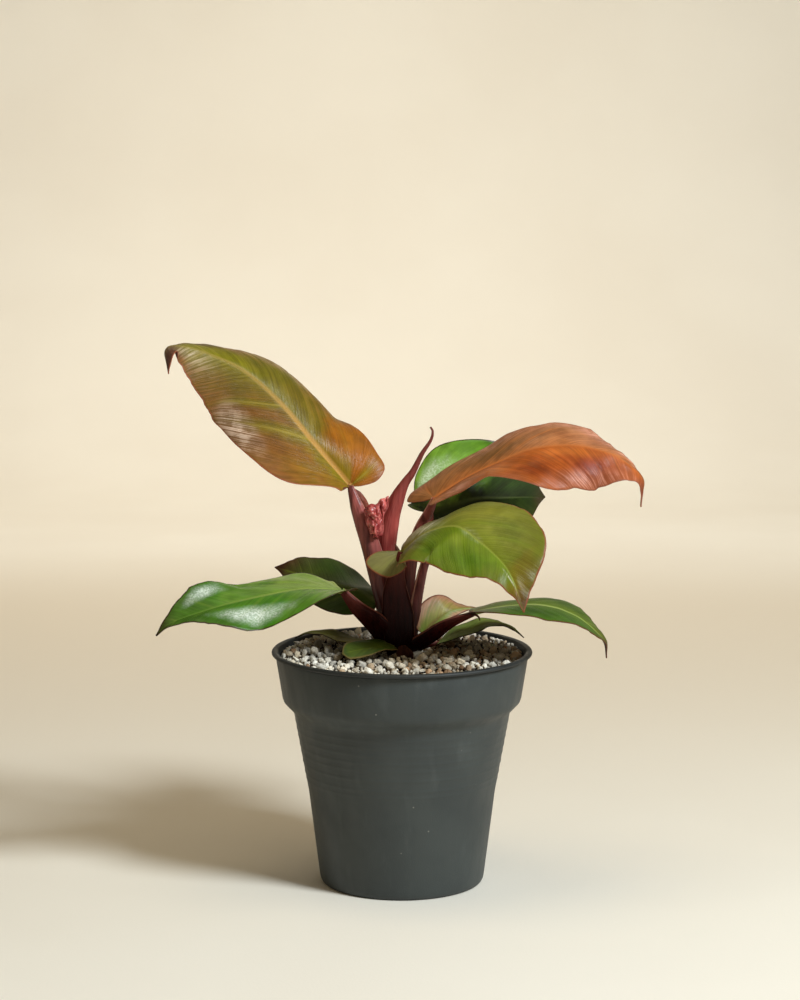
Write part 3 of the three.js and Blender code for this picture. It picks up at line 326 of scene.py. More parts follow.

# How blades look, and how each differs. Left and right are the halves' colours from base to tip.
# A patch has its place along and across, length, width, strength and colour.
# A sheen patch is a painted highlight, streaky or grainy: a patch with no colour, all in one pale sheen
# colour.
LOOK = dict(
    blush=(120, 70, 22), blush_span=(0.5, 1.15), blush_strength=0, halo=(110, 125, 22), halo_strength=0.3,
    halo_width=5, vein=(140, 155, 50), vein_strength=0.2, vein_width=1.2, midrib=(160, 165, 74),
    midrib_tip=(130, 146, 50), midrib_width=1.8, midrib_strength=0.75, rim=(95, 40, 28), rim_width=0.8,
    under=(100, 84, 42), streak_tone=(0.78, 1.16), gloss=0.3, tip=(60, 34, 24), tip_span=(0.86, 0.96),
    patches=[], painted_sheen=[], painted_sheen_colour=(225, 220, 196), grainy_sheen=False, thread_relief=0.6, relief=0.06,
    coat=0.4)
LOOKS = {
    "a": dict(
        right=[(0, 160, 94, 18), (0.18, 154, 92, 18), (0.34, 116, 96, 18), (0.6, 114, 101, 26),
        (0.85, 122, 101, 44), (1, 84, 50, 44)], left=[(0, 140, 106, 30), (0.2, 140, 94, 32),
        (0.45, 128, 86, 38), (0.7, 122, 96, 28), (0.88, 130, 106, 44), (1, 84, 50, 46)],
        blush=(136, 84, 44), blush_span=(0.45, 1.1), blush_strength=0.7, halo=(126, 122, 16),
        halo_strength=0.65, halo_width=8.5, vein=(176, 152, 66), vein_strength=0.45, vein_width=1.7,
        midrib=(216, 162, 88), midrib_tip=(164, 148, 72), midrib_width=2.4, rim=(168, 96, 68),
        rim_width=0.6, under=(104, 64, 48), streak_tone=(0.7, 1.22), tip=(76, 50, 50), tip_span=(0.8, 0.92),
        painted_sheen=[(0.44, -0.8, 0.21, 0.34, 1), (0.8, -0.4, 0.16, 0.6, 0.45), (0.5, 0.85, 0.3, 0.3, 0.4)],
        patches=[(0.74, 0.85, 0.1, 0.28, 0.75, (82, 64, 34)), (0.52, 0.5, 0.2, 0.4, 0.5, (92, 92, 18)),
        (0.12, 0.7, 0.07, 0.3, 0.5, (132, 84, 26)), (0.56, -0.35, 0.1, 0.35, 0.45, (112, 104, 20)),
        (0.3, -0.5, 0.1, 0.4, 0.4, (116, 74, 40))], painted_sheen_colour=(234, 206, 182), gloss=0.32,
        thread_relief=1, relief=0.09, coat=0.5),
    "b": dict(
        right=[(0, 164, 100, 54), (0.25, 160, 84, 34), (0.55, 160, 76, 28), (0.85, 164, 82, 50),
        (1, 100, 48, 38)], left=[(0, 156, 102, 56), (0.3, 152, 100, 56), (0.6, 184, 124, 84),
        (0.9, 160, 98, 64), (1, 100, 48, 38)], blush=(156, 92, 60), blush_strength=0.5, halo=(196, 108, 42),
        halo_strength=0.45, vein=(204, 128, 66), vein_strength=0.3, painted_sheen=[(0.7, 0.85, 0.26, 0.35, 0.55),
        (0.25, -0.85, 0.25, 0.35, 0.5), (0.72, -0.92, 0.4, 0.28, 0.9), (0.1, 0.6, 0.12, 0.5, 0.7)],
        patches=[(0.28, -0.4, 0.2, 0.4, 0.75, (118, 80, 38)), (0.43, 0.62, 0.13, 0.3, 0.85, (128, 54, 20)),
        (0.68, 0.55, 0.12, 0.35, 0.8, (134, 50, 30)), (0.56, 0.2, 0.2, 0.22, 0.7, (204, 112, 44)),
        (0.86, -0.3, 0.12, 0.6, 0.7, (132, 72, 42)), (0.1, 0.15, 0.1, 0.5, 0.5, (134, 78, 48)),
        (0.55, -0.5, 0.14, 0.25, 0.5, (146, 82, 44)), (0.25, 0.5, 0.12, 0.4, 0.6, (184, 110, 58))],
        painted_sheen_colour=(224, 164, 142), midrib=(200, 118, 60), midrib_tip=(196, 112, 56), midrib_width=2.2,
        rim=(146, 84, 58), rim_width=0.6, under=(186, 134, 88), streak_tone=(0.68, 1.24), tip=(84, 44, 36),
        relief=0.06, coat=0.35),
    # Leaf C: the dark right half, the dark far part of the left half, the dark halo, midrib and veins
    # and the two near-black patches are painted shade, where leaf B's shadow falls on it.
    "c": dict(
        left=[(0, 76, 106, 34), (0.14, 128, 164, 60), (0.45, 112, 158, 46), (0.62, 48, 70, 24),
        (1, 50, 74, 28)], right=[(0, 26, 34, 10), (0.6, 28, 36, 12), (1, 58, 66, 26)], vein_strength=0.12,
        halo=(34, 48, 14), halo_strength=0.9, painted_sheen=[(0.2, -0.7, 0.16, 0.26, 0.8)],
        painted_sheen_colour=(220, 236, 200), grainy_sheen=True, patches=[(0.42, -0.05, 0.5, 0.64, 1, (22, 30, 8)),
        (0, -0.45, 0.15, 1.2, 1, (22, 30, 8)), (0.4, -0.95, 0.2, 0.3, 0.5, (70, 116, 26))],
        midrib=(46, 58, 24), midrib_tip=(88, 100, 50), midrib_strength=0.6, vein=(60, 74, 30),
        rim=(60, 48, 26), rim_width=0.5, under=(44, 60, 22), gloss=0.26),
    "d": dict(
        left=[(0, 134, 122, 62), (0.2, 138, 138, 64), (0.5, 138, 138, 52), (0.8, 104, 108, 30),
        (1, 122, 84, 30)], right=[(0, 116, 108, 62), (0.15, 106, 110, 42), (0.35, 98, 118, 24),
        (0.7, 96, 126, 20), (0.95, 98, 112, 26), (1, 132, 82, 28)], blush=(104, 104, 34),
        blush_strength=0.45, painted_sheen=[(0.83, 0.3, 0.09, 0.14, 0.95), (0.16, -0.25, 0.2, 0.6, 0.75),
        (0.5, 0.02, 0.1, 0.16, 0.4)], patches=[(0, 0.5, 0.035, 2, 0.85, (118, 112, 66)),
        (0.32, 0.65, 0.1, 0.35, 0.7, (70, 98, 14)), (0.62, 0.6, 0.1, 0.35, 0.6, (74, 108, 12)),
        (0.62, -0.55, 0.16, 0.35, 0.55, (84, 96, 24)), (0.46, 0.3, 0.1, 0.3, 0.5, (146, 158, 46)),
        (0.34, -0.6, 0.12, 0.3, 0.4, (102, 98, 40))], halo=(114, 132, 24), halo_strength=0.5, halo_width=6,
        vein=(150, 160, 58), vein_strength=0.25, midrib=(164, 164, 76), midrib_tip=(152, 164, 60),
        midrib_width=1.5, rim=(138, 74, 50), rim_width=0.7, under=(112, 106, 50), streak_tone=(0.8, 1.15)),
    "e": dict(
        left=[(0, 108, 134, 44), (0.4, 66, 122, 22), (1, 60, 92, 26)], right=[(0, 142, 156, 68),
        (0.35, 118, 152, 48), (0.7, 64, 114, 22), (1, 54, 80, 26)], vein_strength=0.18, halo=(92, 130, 38),
        halo_strength=0.4, midrib=(150, 168, 76), midrib_tip=(106, 140, 48), midrib_width=1.9,
        rim=(60, 30, 20), rim_width=0.7, painted_sheen=[(0.7, 0.72, 0.16, 0.3, 0.9),
        (0.52, -0.6, 0.26, 0.36, 0.95)], grainy_sheen=True, painted_sheen_colour=(232, 242, 230),
        patches=[(0.36, 0.7, 0.1, 0.3, 0.6, (52, 100, 16)), (0.6, -0.12, 0.14, 0.2, 0.5, (48, 104, 14)),
        (0.86, -0.3, 0.1, 0.4, 0.4, (50, 94, 18)), (0.25, -0.6, 0.12, 0.4, 0.5, (60, 110, 20)),
        (0.55, 0.25, 0.12, 0.2, 0.4, (54, 104, 14))], under=(70, 70, 32), gloss=0.2, coat=0.6,
        streak_tone=(0.74, 1.18), relief=0.08),
    "f": dict(
        left=[(0, 60, 82, 30), (0.6, 62, 80, 32), (1, 84, 62, 42)], right=[(0, 46, 70, 20),
        (0.45, 56, 78, 28), (0.8, 72, 74, 38), (1, 92, 62, 44)], vein_strength=0.15, halo_strength=0.15,
        midrib=(92, 108, 56), rim=(74, 42, 30), under=(48, 54, 24), coat=0.3),
    "g": dict(
        left=[(0, 108, 98, 52), (0.25, 82, 108, 34), (0.8, 80, 98, 36), (1, 84, 62, 40)],
        right=[(0, 100, 96, 50), (0.25, 70, 104, 28), (0.8, 66, 98, 28), (1, 76, 50, 34)],
        midrib=(184, 196, 116), midrib_tip=(168, 184, 98), midrib_width=2.5, rim=(100, 50, 36),
        patches=[(0.4, 0.6, 0.3, 0.4, 0.6, (48, 76, 18)), (0.55, -0.6, 0.3, 0.35, 0.6, (54, 80, 22)),
        (0.15, 0.85, 0.2, 0.3, 0.5, (104, 64, 40))], under=(72, 48, 44), vein_strength=0.15, coat=0.35),
    "h": dict(
        left=[(0, 120, 142, 66), (0.6, 112, 124, 62), (0.9, 66, 56, 42), (1, 30, 20, 16)],
        right=[(0, 116, 138, 62), (0.6, 108, 120, 60), (0.9, 64, 54, 40), (1, 30, 20, 16)],
        midrib=(108, 118, 62), midrib_width=1.3, rim=(56, 38, 28), under=(36, 32, 20), tip=(34, 22, 20),
        vein_strength=0.1, coat=0.1),
    "i": dict(
        left=[(0, 136, 130, 70), (0.5, 120, 110, 58), (0.85, 64, 48, 34), (1, 30, 20, 18)],
        right=[(0, 130, 124, 66), (0.5, 114, 104, 54), (0.85, 62, 46, 32), (1, 30, 20, 18)],
        midrib=(140, 124, 74), midrib_width=1.5, rim=(48, 32, 22), under=(52, 40, 24), tip=(34, 22, 20),
        vein_strength=0.1, coat=0.1),
    "j": dict(
        left=[(0, 74, 64, 34), (0.3, 70, 92, 40), (1, 84, 102, 52)], right=[(0, 70, 60, 32),
        (0.3, 66, 88, 38), (1, 80, 98, 50)], midrib=(72, 88, 44), midrib_width=1.2, rim=(124, 108, 62),
        rim_width=1.2, tip=(66, 84, 38), under=(58, 50, 28), vein_strength=0.1, coat=0.3),
    "k": dict(
        left=[(0, 128, 148, 64), (0.4, 162, 144, 86), (1, 176, 118, 84)], right=[(0, 116, 140, 60),
        (1, 146, 130, 78)], blush=(192, 134, 110), blush_span=(0.3, 0.9), blush_strength=0.85,
        midrib=(116, 88, 48), rim=(108, 56, 42), under=(98, 50, 42), gloss=0.34),
}


def linear(red, green, blue):
    """Scene colour of a screen colour given from 0 to 255."""
    screen = np.array([red, green, blue]) / 255
    values = np.where(screen <= 0.04045, screen / 12.92, ((screen + 0.055) / 1.055) ** 2.4)
    return (*values.tolist(), 1.0)


def unit(vectors):
    return vectors / np.maximum(np.linalg.norm(vectors, axis=-1, keepdims=True), 1e-12)


def catmull(points, count):
    """Points at even steps of the Catmull-Rom curve through the given points."""
    given = np.asarray(points, float)
    knots = np.vstack([2 * given[0] - given[1], given, 2 * given[-1] - given[-2]])
    at = np.linspace(0, len(given) - 1, count)
    i = np.minimum(at.astype(int), len(given) - 2)
    t = (at - i)[:, None]
    a, b, c, d = (knots[i + k] for k in range(4))
    return b + 0.5 * t * (c - a + t * (2 * a - 5 * b + 4 * c - d + t * (3 * (b - c) + d - a)))


def along(values, share):
    """Values that are evenly spaced, read at a share of the way through them."""
    table = np.asarray(values, float)
    at = np.clip(share, 0, 1) * (len(table) - 1)
    knots = np.arange(len(table))
    if table.ndim == 1:
        return np.interp(at, knots, table)
    return np.stack([np.interp(at, knots, column) for column in table.T], -1)


def smooth(value, low, high):
    t = np.clip((value - low) / (high - low), 0, 1)
    return t * t * (3 - 2 * t)


class Route:
    """A curve measured by its length, with a direction that is faced along it."""

    def __init__(self, points, faces):
        self.points = catmull(points, ROUTE_SAMPLES)
        steps = np.linalg.norm(np.diff(self.points, axis=0), axis=1)
        self.distance = np.concatenate([[0], np.cumsum(steps)])
        self.length = self.distance[-1]
        self.tangents = unit(np.gradient(self.points, self.distance, axis=0))
        self.faces = faces

    def at(self, distance):
        """Point, tangent, faced direction and the direction across, at distances along the curve."""
        reach = np.clip(distance, 0, self.length)
        point, tangent = (np.stack([np.interp(reach, self.distance, column) for column in rows.T], -1)
                          for rows in (self.points, self.tangents))
        tangent = unit(tangent)
        facing = along(self.faces, reach / self.length)
        facing = unit(facing - (facing * tangent).sum(-1, keepdims=True) * tangent)
        return point, tangent, facing, np.cross(tangent, facing)


def merge(points, faces):
    """Points and faces with coincident points joined. Also gives the kept point of each old one."""
    _, kept, joined = np.unique(np.round(points, 3), axis=0, return_index=True, return_inverse=True)
    joined = joined.ravel()
    clean = []
    for face in faces:
        corners = list(dict.fromkeys(joined[list(face)].tolist()))
        if len(corners) > 2:
            clean.append(corners)
    return kept, clean


def normals_of(points, faces):
    normals = np.zeros_like(points)
    for corners in {len(face) for face in faces}:
        index = np.array([face for face in faces if len(face) == corners])
        a, b, c = points[index[:, 0]], points[index[:, 1]], points[index[:, -1]]
        far = points[index[:, 2]]
        normal = np.cross(far - a, c - b) if corners == 4 else np.cross(b - a, c - a)
        for k in range(corners):
            np.add.at(normals, index[:, k], normal)
    return unit(normals)


def rim_of(faces):
    """Edges that one face alone has, in the direction that it has them."""
    edges = {(a, b) for face in faces for a, b in zip(face, face[1:] + face[:1])}
    return [(a, b) for a, b in edges if (b, a) not in edges]


def shell(points, faces, up, down, bulge=0.5):
    """Closed sheet with a rounded rim. Gives its points, faces, the source of each point and its side."""
    kept, faces = merge(points, faces)
    up, down = (np.broadcast_to(thickness, len(points))[kept] for thickness in (up, down))
    points = points[kept]
    normal = normals_of(points, faces)
    upper, lower = points + normal * up[:, None], points - normal * down[:, None]
    rim = sorted(rim_of(faces))
    outwards = np.zeros_like(points)
    for a, b in rim:
        side = np.cross(points[b] - points[a], normal[a] + normal[b])
        outwards[a] += side
        outwards[b] += side
    edge = sorted({a for a, _ in rim})
    place = {a: 2 * len(points) + i for i, a in enumerate(edge)}
    middle = (upper[edge] + lower[edge]) / 2
    thickness = np.linalg.norm(upper[edge] - lower[edge], axis=1, keepdims=True)
    outer = middle + unit(outwards[edge]) * thickness * bulge
    count = len(points)
    solid = [list(face) for face in faces] + [[a + count for a in face[::-1]] for face in faces]
    for a, b in rim:
        solid += [[b, a, place[a], place[b]], [place[b], place[a], a + count, b + count]]
    source = np.concatenate([kept, kept, kept[edge]])
    side = np.concatenate([np.zeros(count), np.ones(count), np.full(len(edge), 0.5)])
    return np.vstack([upper, lower, outer]), solid, source, side


def grid_faces(rows, columns, closed=False):
    """Quads of a grid of points, whose last column joins the first one where it is closed."""
    index = np.arange(rows * columns).reshape(rows, columns)
    after = np.roll(index, -1, axis=1)
    if not closed:
        index, after = index[:, :-1], after[:, :-1]
    return np.stack([index[:-1], after[:-1], after[1:], index[1:]], -1).reshape(-1, 4)


def link(thing):
    bpy.context.scene.collection.objects.link(thing)
    return thing


def add_piece(name, points, faces, material, slot, nodes=(), attributes=None):
    """Mesh object in metres from points in millimetres, riding on the body and standing for CAD nodes."""
    mesh = bpy.data.meshes.new(name)
    mesh.from_pydata((np.asarray(points) * MM).tolist(), [], [list(map(int, face)) for face in faces])
    mesh.validate()
    for key, values in (attributes or {}).items():
        layer = mesh.attributes.new(key, "FLOAT", "POINT")
        layer.data.foreach_set("value", np.asarray(values, np.float32))
    mesh.polygons.foreach_set("use_smooth", [True] * len(mesh.polygons))
    mesh.materials.append(material)
    piece = link(bpy.data.objects.new(name, mesh))
    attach(piece, BODY)
    if nodes:
        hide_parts(*nodes)
    return piece


class Value:
    """What a node gives, which can be added, subtracted and multiplied."""

    def __init__(self, shader, socket):
        self.shader, self.socket = shader, socket

    def __add__(self, other):
        return self.shader.math("ADD", self, other)

    def __sub__(self, other):
        return self.shader.math("SUBTRACT", self, other)

    def __mul__(self, other):
        return self.shader.math("MULTIPLY", self, other)


class Shader:
    """Short ways to build a material from nodes. A tuple of three is a screen colour from 0 to 255."""

    def __init__(self, name):
        self.material = bpy.data.materials.new(name)
        self.material.use_nodes = True
        self.tree = self.material.node_tree
        self.surface = self.tree.nodes["Principled BSDF"]
        self.places = self.value("ShaderNodeTexCoord", "Object")

    def feed(self, socket, value):
        if isinstance(value, Value):
            self.tree.links.new(value.socket, socket)
        else:
            socket.default_value = linear(*value) if isinstance(value, tuple) else value

    def value(self, kind, output, inputs=(), **settings):
        """An output of a new node whose inputs are given by number or by name."""
        node = self.tree.nodes.new(kind)
        for key, setting in settings.items():
            setattr(node, key, setting)
        for key, value in dict(inputs).items():
            self.feed(node.inputs[key], value)
        return Value(self, node.outputs[output])

    def attribute(self, name):
        return self.value("ShaderNodeAttribute", "Fac", attribute_name=name)

    def math(self, operation, first, second=0.0):
        return self.value("ShaderNodeMath", 0, {0: first, 1: second}, operation=operation)

    def smooth(self, value, low, high, start=0.0, end=1.0):
        """From start to end, smoothly, while the value goes from low to high."""
        inputs = enumerate((value, low, high, start, end))
        return self.value("ShaderNodeMapRange", "Result", inputs, interpolation_type="SMOOTHSTEP")

    def ramp(self, value, stops):
        """Colours along a value. A stop has its place and its red, green and blue."""
        node = self.tree.nodes.new("ShaderNodeValToRGB")
        elements = node.color_ramp.elements
        while len(elements) < len(stops):
            elements.new(1)
        for element, (place, *colour) in zip(elements, stops):
            element.position = place
            element.color = linear(*colour)
        self.feed(node.inputs["Fac"], value)
        return Value(self, node.outputs["Color"])

    def mix(self, share, first, second, blend="MIX"):
        inputs = {0: share, 6: first, 7: second}
        return self.value("ShaderNodeMix", 2, inputs, data_type="RGBA", blend_type=blend)

    def noise_at(self, places, detail, scale=1.0, distortion=0.0):
        inputs = dict(Vector=places, Scale=scale, Detail=detail, Distortion=distortion)
        return self.value("ShaderNodeTexNoise", "Fac", inputs)

    def noise(self, size, detail, stretch=None, distortion=0.0):
        """Noise from 0 to 1 whose features are about this many millimetres wide."""
        places = self.places
        if stretch:
            places = self.value("ShaderNodeMapping", "Vector", dict(Vector=places, Scale=stretch))
        return self.noise_at(places, detail, 1 / (size * MM), distortion)

    def cells(self, size):
        return self.value("ShaderNodeTexVoronoi", "Distance", dict(Vector=self.places, Scale=1 / (size * MM)))

    def vector(self, x, y, z):
        return self.value("ShaderNodeCombineXYZ", 0, enumerate((x, y, z)))

    def axis(self, number):
        return self.value("ShaderNodeSeparateXYZ", number, {0: self.places})

    def random(self, number):
        return self.value("ShaderNodeTexWhiteNoise", "Value", dict(W=number), noise_dimensions="1D")

    def tone(self, colour, value, low, high):
        """Colour made darker or lighter, by a factor from low to high as the value goes from 0 to 1."""
        factor = self.smooth(value, 0.0, 1.0, low, high)
        grey = self.value("ShaderNodeCombineColor", 0, enumerate([factor] * 3))
        return self.mix(1.0, colour, grey, "MULTIPLY")

    def bump(self, height, depth):
        """Relief whose height from 0 to 1 stands for this many millimetres."""
        return self.value("ShaderNodeBump", "Normal", dict(Height=height, Distance=depth * MM))

    def finish(self, colour, roughness, normal, **constants):
        inputs = self.surface.inputs
        self.feed(inputs["Base Color"], colour)
        self.feed(inputs["Roughness"], roughness)
        self.feed(inputs["Normal"], normal)
        self.feed(inputs["Coat Normal"], normal)
        for key, value in constants.items():
            inputs[key.replace("_", " ")].default_value = value
        return self.material


def blade_points(leaf, x, y):
    """Places on a blade from flat ones: x along the midrib, y across it, positive to the right."""
    share = np.clip(x / leaf["length"], 0, 1)
    point, tangent, facing, across = leaf["route"].at(x)
    fold, bend = (np.radians(np.where(y < 0, along(leaf["left"][k], share), along(leaf["right"][k], share)))
                  for k in (2, 3))
    behind = tangent
    if "ear" in leaf:
        back, ear_fold, ear_bend = (leaf["ear"][key] for key in ("back", "fold", "bend"))
        part = np.where(y > 0, smooth(-x, -4.0, 1.0), 0)
        fold = fold + part * (math.radians(ear_fold) - fold)
        bend = bend + part * (math.radians(ear_bend) - bend)
        behind = np.where((y > 0)[..., None], unit(np.array(back, float)), tangent)
    bend = bend / BEND_SPAN
    bend = np.where(np.abs(bend) < 1e-6, 1e-6, bend)
    reach = np.abs(y)
    lateral = (np.sin(fold + bend * reach) - np.sin(fold)) / bend
    rise = (np.cos(fold) - np.cos(fold + bend * reach)) / bend
    point = point + behind * np.minimum(x, 0)[..., None]
    return point + across * (np.sign(y) * lateral)[..., None] + facing * rise[..., None]


def margin(leaf, half, count, ear=None):
    """Flat margin of a blade half: distance along, distance out, and where its ray leaves the midrib."""
    widths, lobe = half[:2]
    length = leaf["length"]
    lobe_width, outline = (ear["width"], EAR_ROUND) if ear else (widths[0], LOBE_ROUND)
    points = [(back * lobe, out * lobe_width, 0) for back, out in outline]
    points += [(MARGIN_SHARE[i] * length, width, VEIN_SHARE[i] * length) for i, width in enumerate(widths)]
    return catmull(points + [(length, 0, length)], count)


def blade_grid(leaf):
    """Flat grid of a blade from margin to margin: distance along, distance across and share of the width."""
    rows, steps = leaf["rows"], leaf["steps"]
    count = 4 * rows + 1
    t = FIRST_RAY + (1 - FIRST_RAY) * np.linspace(0, 1, rows)
    share = (np.arange(1, steps + 1) / steps) ** STEP_CURVE
    at = np.linspace(0, 1, count)
    halves = []
    for half, sign in ((leaf["left"], -1), (leaf["right"], 1)):
        outline = margin(leaf, half, count, leaf.get("ear") if sign > 0 else None)
        edge = np.stack([np.interp(t, at, column) for column in outline.T], -1)
        origin = np.maximum(edge[:, 2], 0)[:, None]
        x = origin + (edge[:, 0][:, None] - origin) * share ** RAY_CURVE
        y = sign * np.maximum(edge[:, 1], NARROWEST)[:, None] * share
        halves.append((x, y, origin))
    (xl, yl, origin), (xr, yr, _) = halves
    x = np.hstack([xl[:, ::-1], origin, xr])
    y = np.hstack([yl[:, ::-1], np.zeros_like(origin), yr])
    across = np.concatenate([-share[::-1], [0], share])
    return x, y, np.broadcast_to(across, x.shape)


def waves(grain, reach, seed):
    """Soft unevenness of a blade, from 0 to about 1 either way, long in the direction of its side veins."""
    draw = np.random.default_rng(seed)
    total = np.zeros_like(grain)
    for length in WAVE_LENGTHS:
        for _ in range(WAVES_EACH):
            turn = draw.normal() * 0.5
            start = draw.uniform(0, TURN)
            total += length / 60 * np.sin(TURN * (grain + turn * reach) / length + start)
    return total


def vein_places(leaf, x, y, seed):
    """Distance along the midrib at which the side vein through a point leaves it, and its number."""
    reach = np.abs(y)
    widest = max(leaf["left"][0] + leaf["right"][0])
    forward = reach * (VEIN_SLANT + VEIN_SWEEP * reach / widest)
    behind = np.arctan2(reach, x) - np.arctan2(reach, forward)
    grain = np.where(x >= forward, x - forward, -LOBE_RADIUS * behind)
    grain = np.where(reach < 1e-6, x, grain)
    draw = np.random.default_rng(seed + 50)
    offset = np.where(y < 0, draw.uniform(), draw.uniform())
    even = grain / leaf["vein_gap"]
    return grain, even + offset + VEIN_WOBBLE * np.sin(even * 2.3 + offset * 9)


def blade_piece(key, leaf, material, seed):
    """Blade as one closed sheet: a channelled midrib, quilted between its side veins, and a rolled rim."""
    x, y, across = blade_grid(leaf)
    share = np.clip(x / leaf["length"], 0, 1)
    reach = np.abs(across)
    rib = np.where(x < 0, np.hypot(x, y), np.abs(y))
    grain, number = vein_places(leaf, x, y, seed)
    size = min(leaf["length"] / 100, 1)
    _, _, facing, _ = leaf["route"].at(x)
    valley = np.cos(TURN * number) * smooth(reach, 0.04, 0.3) * (1 - smooth(reach, 0.7, 1.0))
    uneven = waves(grain, rib, seed) * smooth(reach, 0.1, 1.0) * (1 - smooth(share, 0.88, 1))
    lift = -QUILT_DEPTH * size * valley + WAVE_DEPTH * size * uneven
    points = blade_points(leaf, x, y) + facing * lift[..., None]
    fade = 1 - 0.75 * share
    groove = GROOVE_DEPTH * size * fade * np.exp(-(rib / (0.9 * size + 0.2)) ** 2)
    keel = (KEEL_HEIGHT * size * fade + 0.1) * np.exp(-(rib / (1.2 * size * fade + 0.4)) ** 2)
    root = x[:, [leaf["steps"]]]
    rays = [np.hypot(x[:, [end]] - root, y[:, [end]]) for end in (0, -1)]
    rim = (1 - reach) * np.where(across < 0, *rays)
    body = BLADE_THICKNESS / 2 * (EDGE_SHARE + (1 - EDGE_SHARE) * smooth(rim, 0, EDGE_SPAN))
    up, down = body - groove, body + keel
    faces = grid_faces(*x.shape).tolist()
    solid, quads, source, side = shell(points.reshape(-1, 3), faces, up.ravel(), down.ravel())
    values = dict(along=share, across=across, vein=number, grain=grain, rib=rib, rim=rim)
    attributes = {name: np.asarray(value).reshape(-1)[source] for name, value in values.items()}
    node = f"blade_{key}"
    add_piece(node + "_fine", solid, quads, material, leaf["slot"], (node,), dict(attributes, under=side))


def stalk_section(stalk, share):
    """Rings of a stalk: rounded outside, channelled inside between two thin edges."""
    width, depth, channel = (along(stalk[key], share)[:, None] for key in ("widths", "depths", "channel"))
    angle = np.arange(STALK_SIDES)[None] / STALK_SIDES * TURN
    cosine, sine = np.cos(angle), np.sin(angle)
    outer = np.abs(sine) ** 0.8 * depth / 2
    bottom = -0.35 * depth / 2 * (1 - channel) + 0.55 * depth / 2 * channel
    edge = np.minimum(WING_EDGE, depth / 5)
    inner = -edge + (bottom + edge) * (1 - np.abs(cosine) ** 2.5)
    return cosine * width / 2, np.where(sine >= 0, outer, inner), np.abs(cosine) ** 6, sine < -0.01


def sheath_section(stalk, share):
    """Rings of a sheath: a curved wall, thick in the middle and thin at its two free edges."""
    width, wrap, wall = (along(stalk[key], share)[:, None] for key in ("widths", "wrap", "wall"))
    half = STALK_SIDES // 2
    turn = np.concatenate([np.linspace(-1, 1, half), np.linspace(1, -1, half)])[None]
    inner = np.arange(STALK_SIDES)[None] >= half
    radius = width / 2 - np.where(inner, WING_EDGE + (wall - WING_EDGE) * (1 - np.abs(turn) ** 3), 0)
    angle = turn * np.radians(wrap)
    return np.sin(angle) * radius, np.cos(angle) * radius - width * 0.2, np.abs(turn) ** 9, inner


def tube_piece(name, route, rings, material, slot, nodes=()):
    """Closed tube. Its rings say how far points lie sideways and outwards, and which are wing or inside."""
    sideways, outwards, *marks = rings
    count, sides = sideways.shape
    share = np.linspace(0, 1, count)
    point, _, facing, across = route.at(share * route.length)
    points = point[:, None] + across[:, None] * sideways[..., None] + facing[:, None] * outwards[..., None]
    flat = points.reshape(-1, 3)
    ends = [list(range(sides))[::-1], list(range(len(flat) - sides, len(flat)))]
    faces = outward(flat, grid_faces(count, sides, True).tolist() + ends)
    wing, inside = (np.broadcast_to(mark, sideways.shape).ravel() for mark in marks)
    attributes = dict(along=np.repeat(share, sides), wing=wing, inside=inside,
                      around=np.tile(np.arange(sides) / sides, count))
    add_piece(name, flat, faces, material, slot, nodes, attributes)


def stalk_piece(node, stalk, material, slot="petiole", least=LEAST_RINGS):
    route = Route(stalk["path"], stalk["out"])
    share = np.linspace(0, 1, max(int(route.length / STALK_STEP), least))
    rings = (sheath_section if "wrap" in stalk else stalk_section)(stalk, share)
    tube_piece(node + "_fine", route, rings, material, slot, (node,))


def spear_piece(material):
    """Rolled new leaf: its free edge winds round it, and a small wing stands out beside the cataphyll."""
    share = np.linspace(0, 1, SPEAR_RINGS)
    width, depth, wing = (along(SPEAR[key], share)[:, None] for key in ("widths", "depths", "wing"))
    angle = np.arange(SPEAR_SIDES)[None] / SPEAR_SIDES * TURN
    turn = ((angle + SPEAR_TWIST * share[:, None]) / TURN) % 1
    roll = 1 - SPEAR_ROLL * turn * smooth(share, 0.05, 0.3)[:, None]
    flare = np.exp(-((angle - math.pi) / 0.3) ** 2) * wing
    sideways = np.cos(angle) * width / 2 * roll - flare
    outwards = np.sin(angle) * depth / 2 * roll * np.where(np.sin(angle) > 0, 1, 0.8)
    edge = np.exp(-(turn / SPEAR_SEAM) ** 2) + np.exp(-((angle - math.pi) / 0.1) ** 2) * (wing > 1)
    route, rings = Route(SPEAR["path"], SPEAR["out"]), (sideways, outwards, edge, 0)
    tube_piece("new_leaf_spear_fine", route, rings, material, "new_leaf", ("new_leaf_spear",))


def twig_piece(name, path, thickness, material, slot):
    """Thin round dry piece along a path."""
    share = np.linspace(0, 1, TWIG_RINGS)
    angle = np.arange(TWIG_SIDES)[None] / TWIG_SIDES * TURN
    lumps = 1 + 0.12 * np.sin(share * 23)[:, None] * np.sin(3 * angle)
    radius = along(thickness, share)[:, None] / 2 * lumps
    rings = np.cos(angle) * radius, np.sin(angle) * radius, 0, 0
    tube_piece(name, Route(path, [(0, -1, 0.1), (0, -1, 0.1)]), rings, material, slot)


def outward(points, faces):
    """Faces turned so that the closed mesh has its faces looking out."""
    volume = 0
    for face in faces:
        a = points[face[0]]
        for b, c in zip(face[1:], face[2:]):
            volume += np.dot(a, np.cross(points[b], points[c]))
    return faces if volume > 0 else [face[::-1] for face in faces]


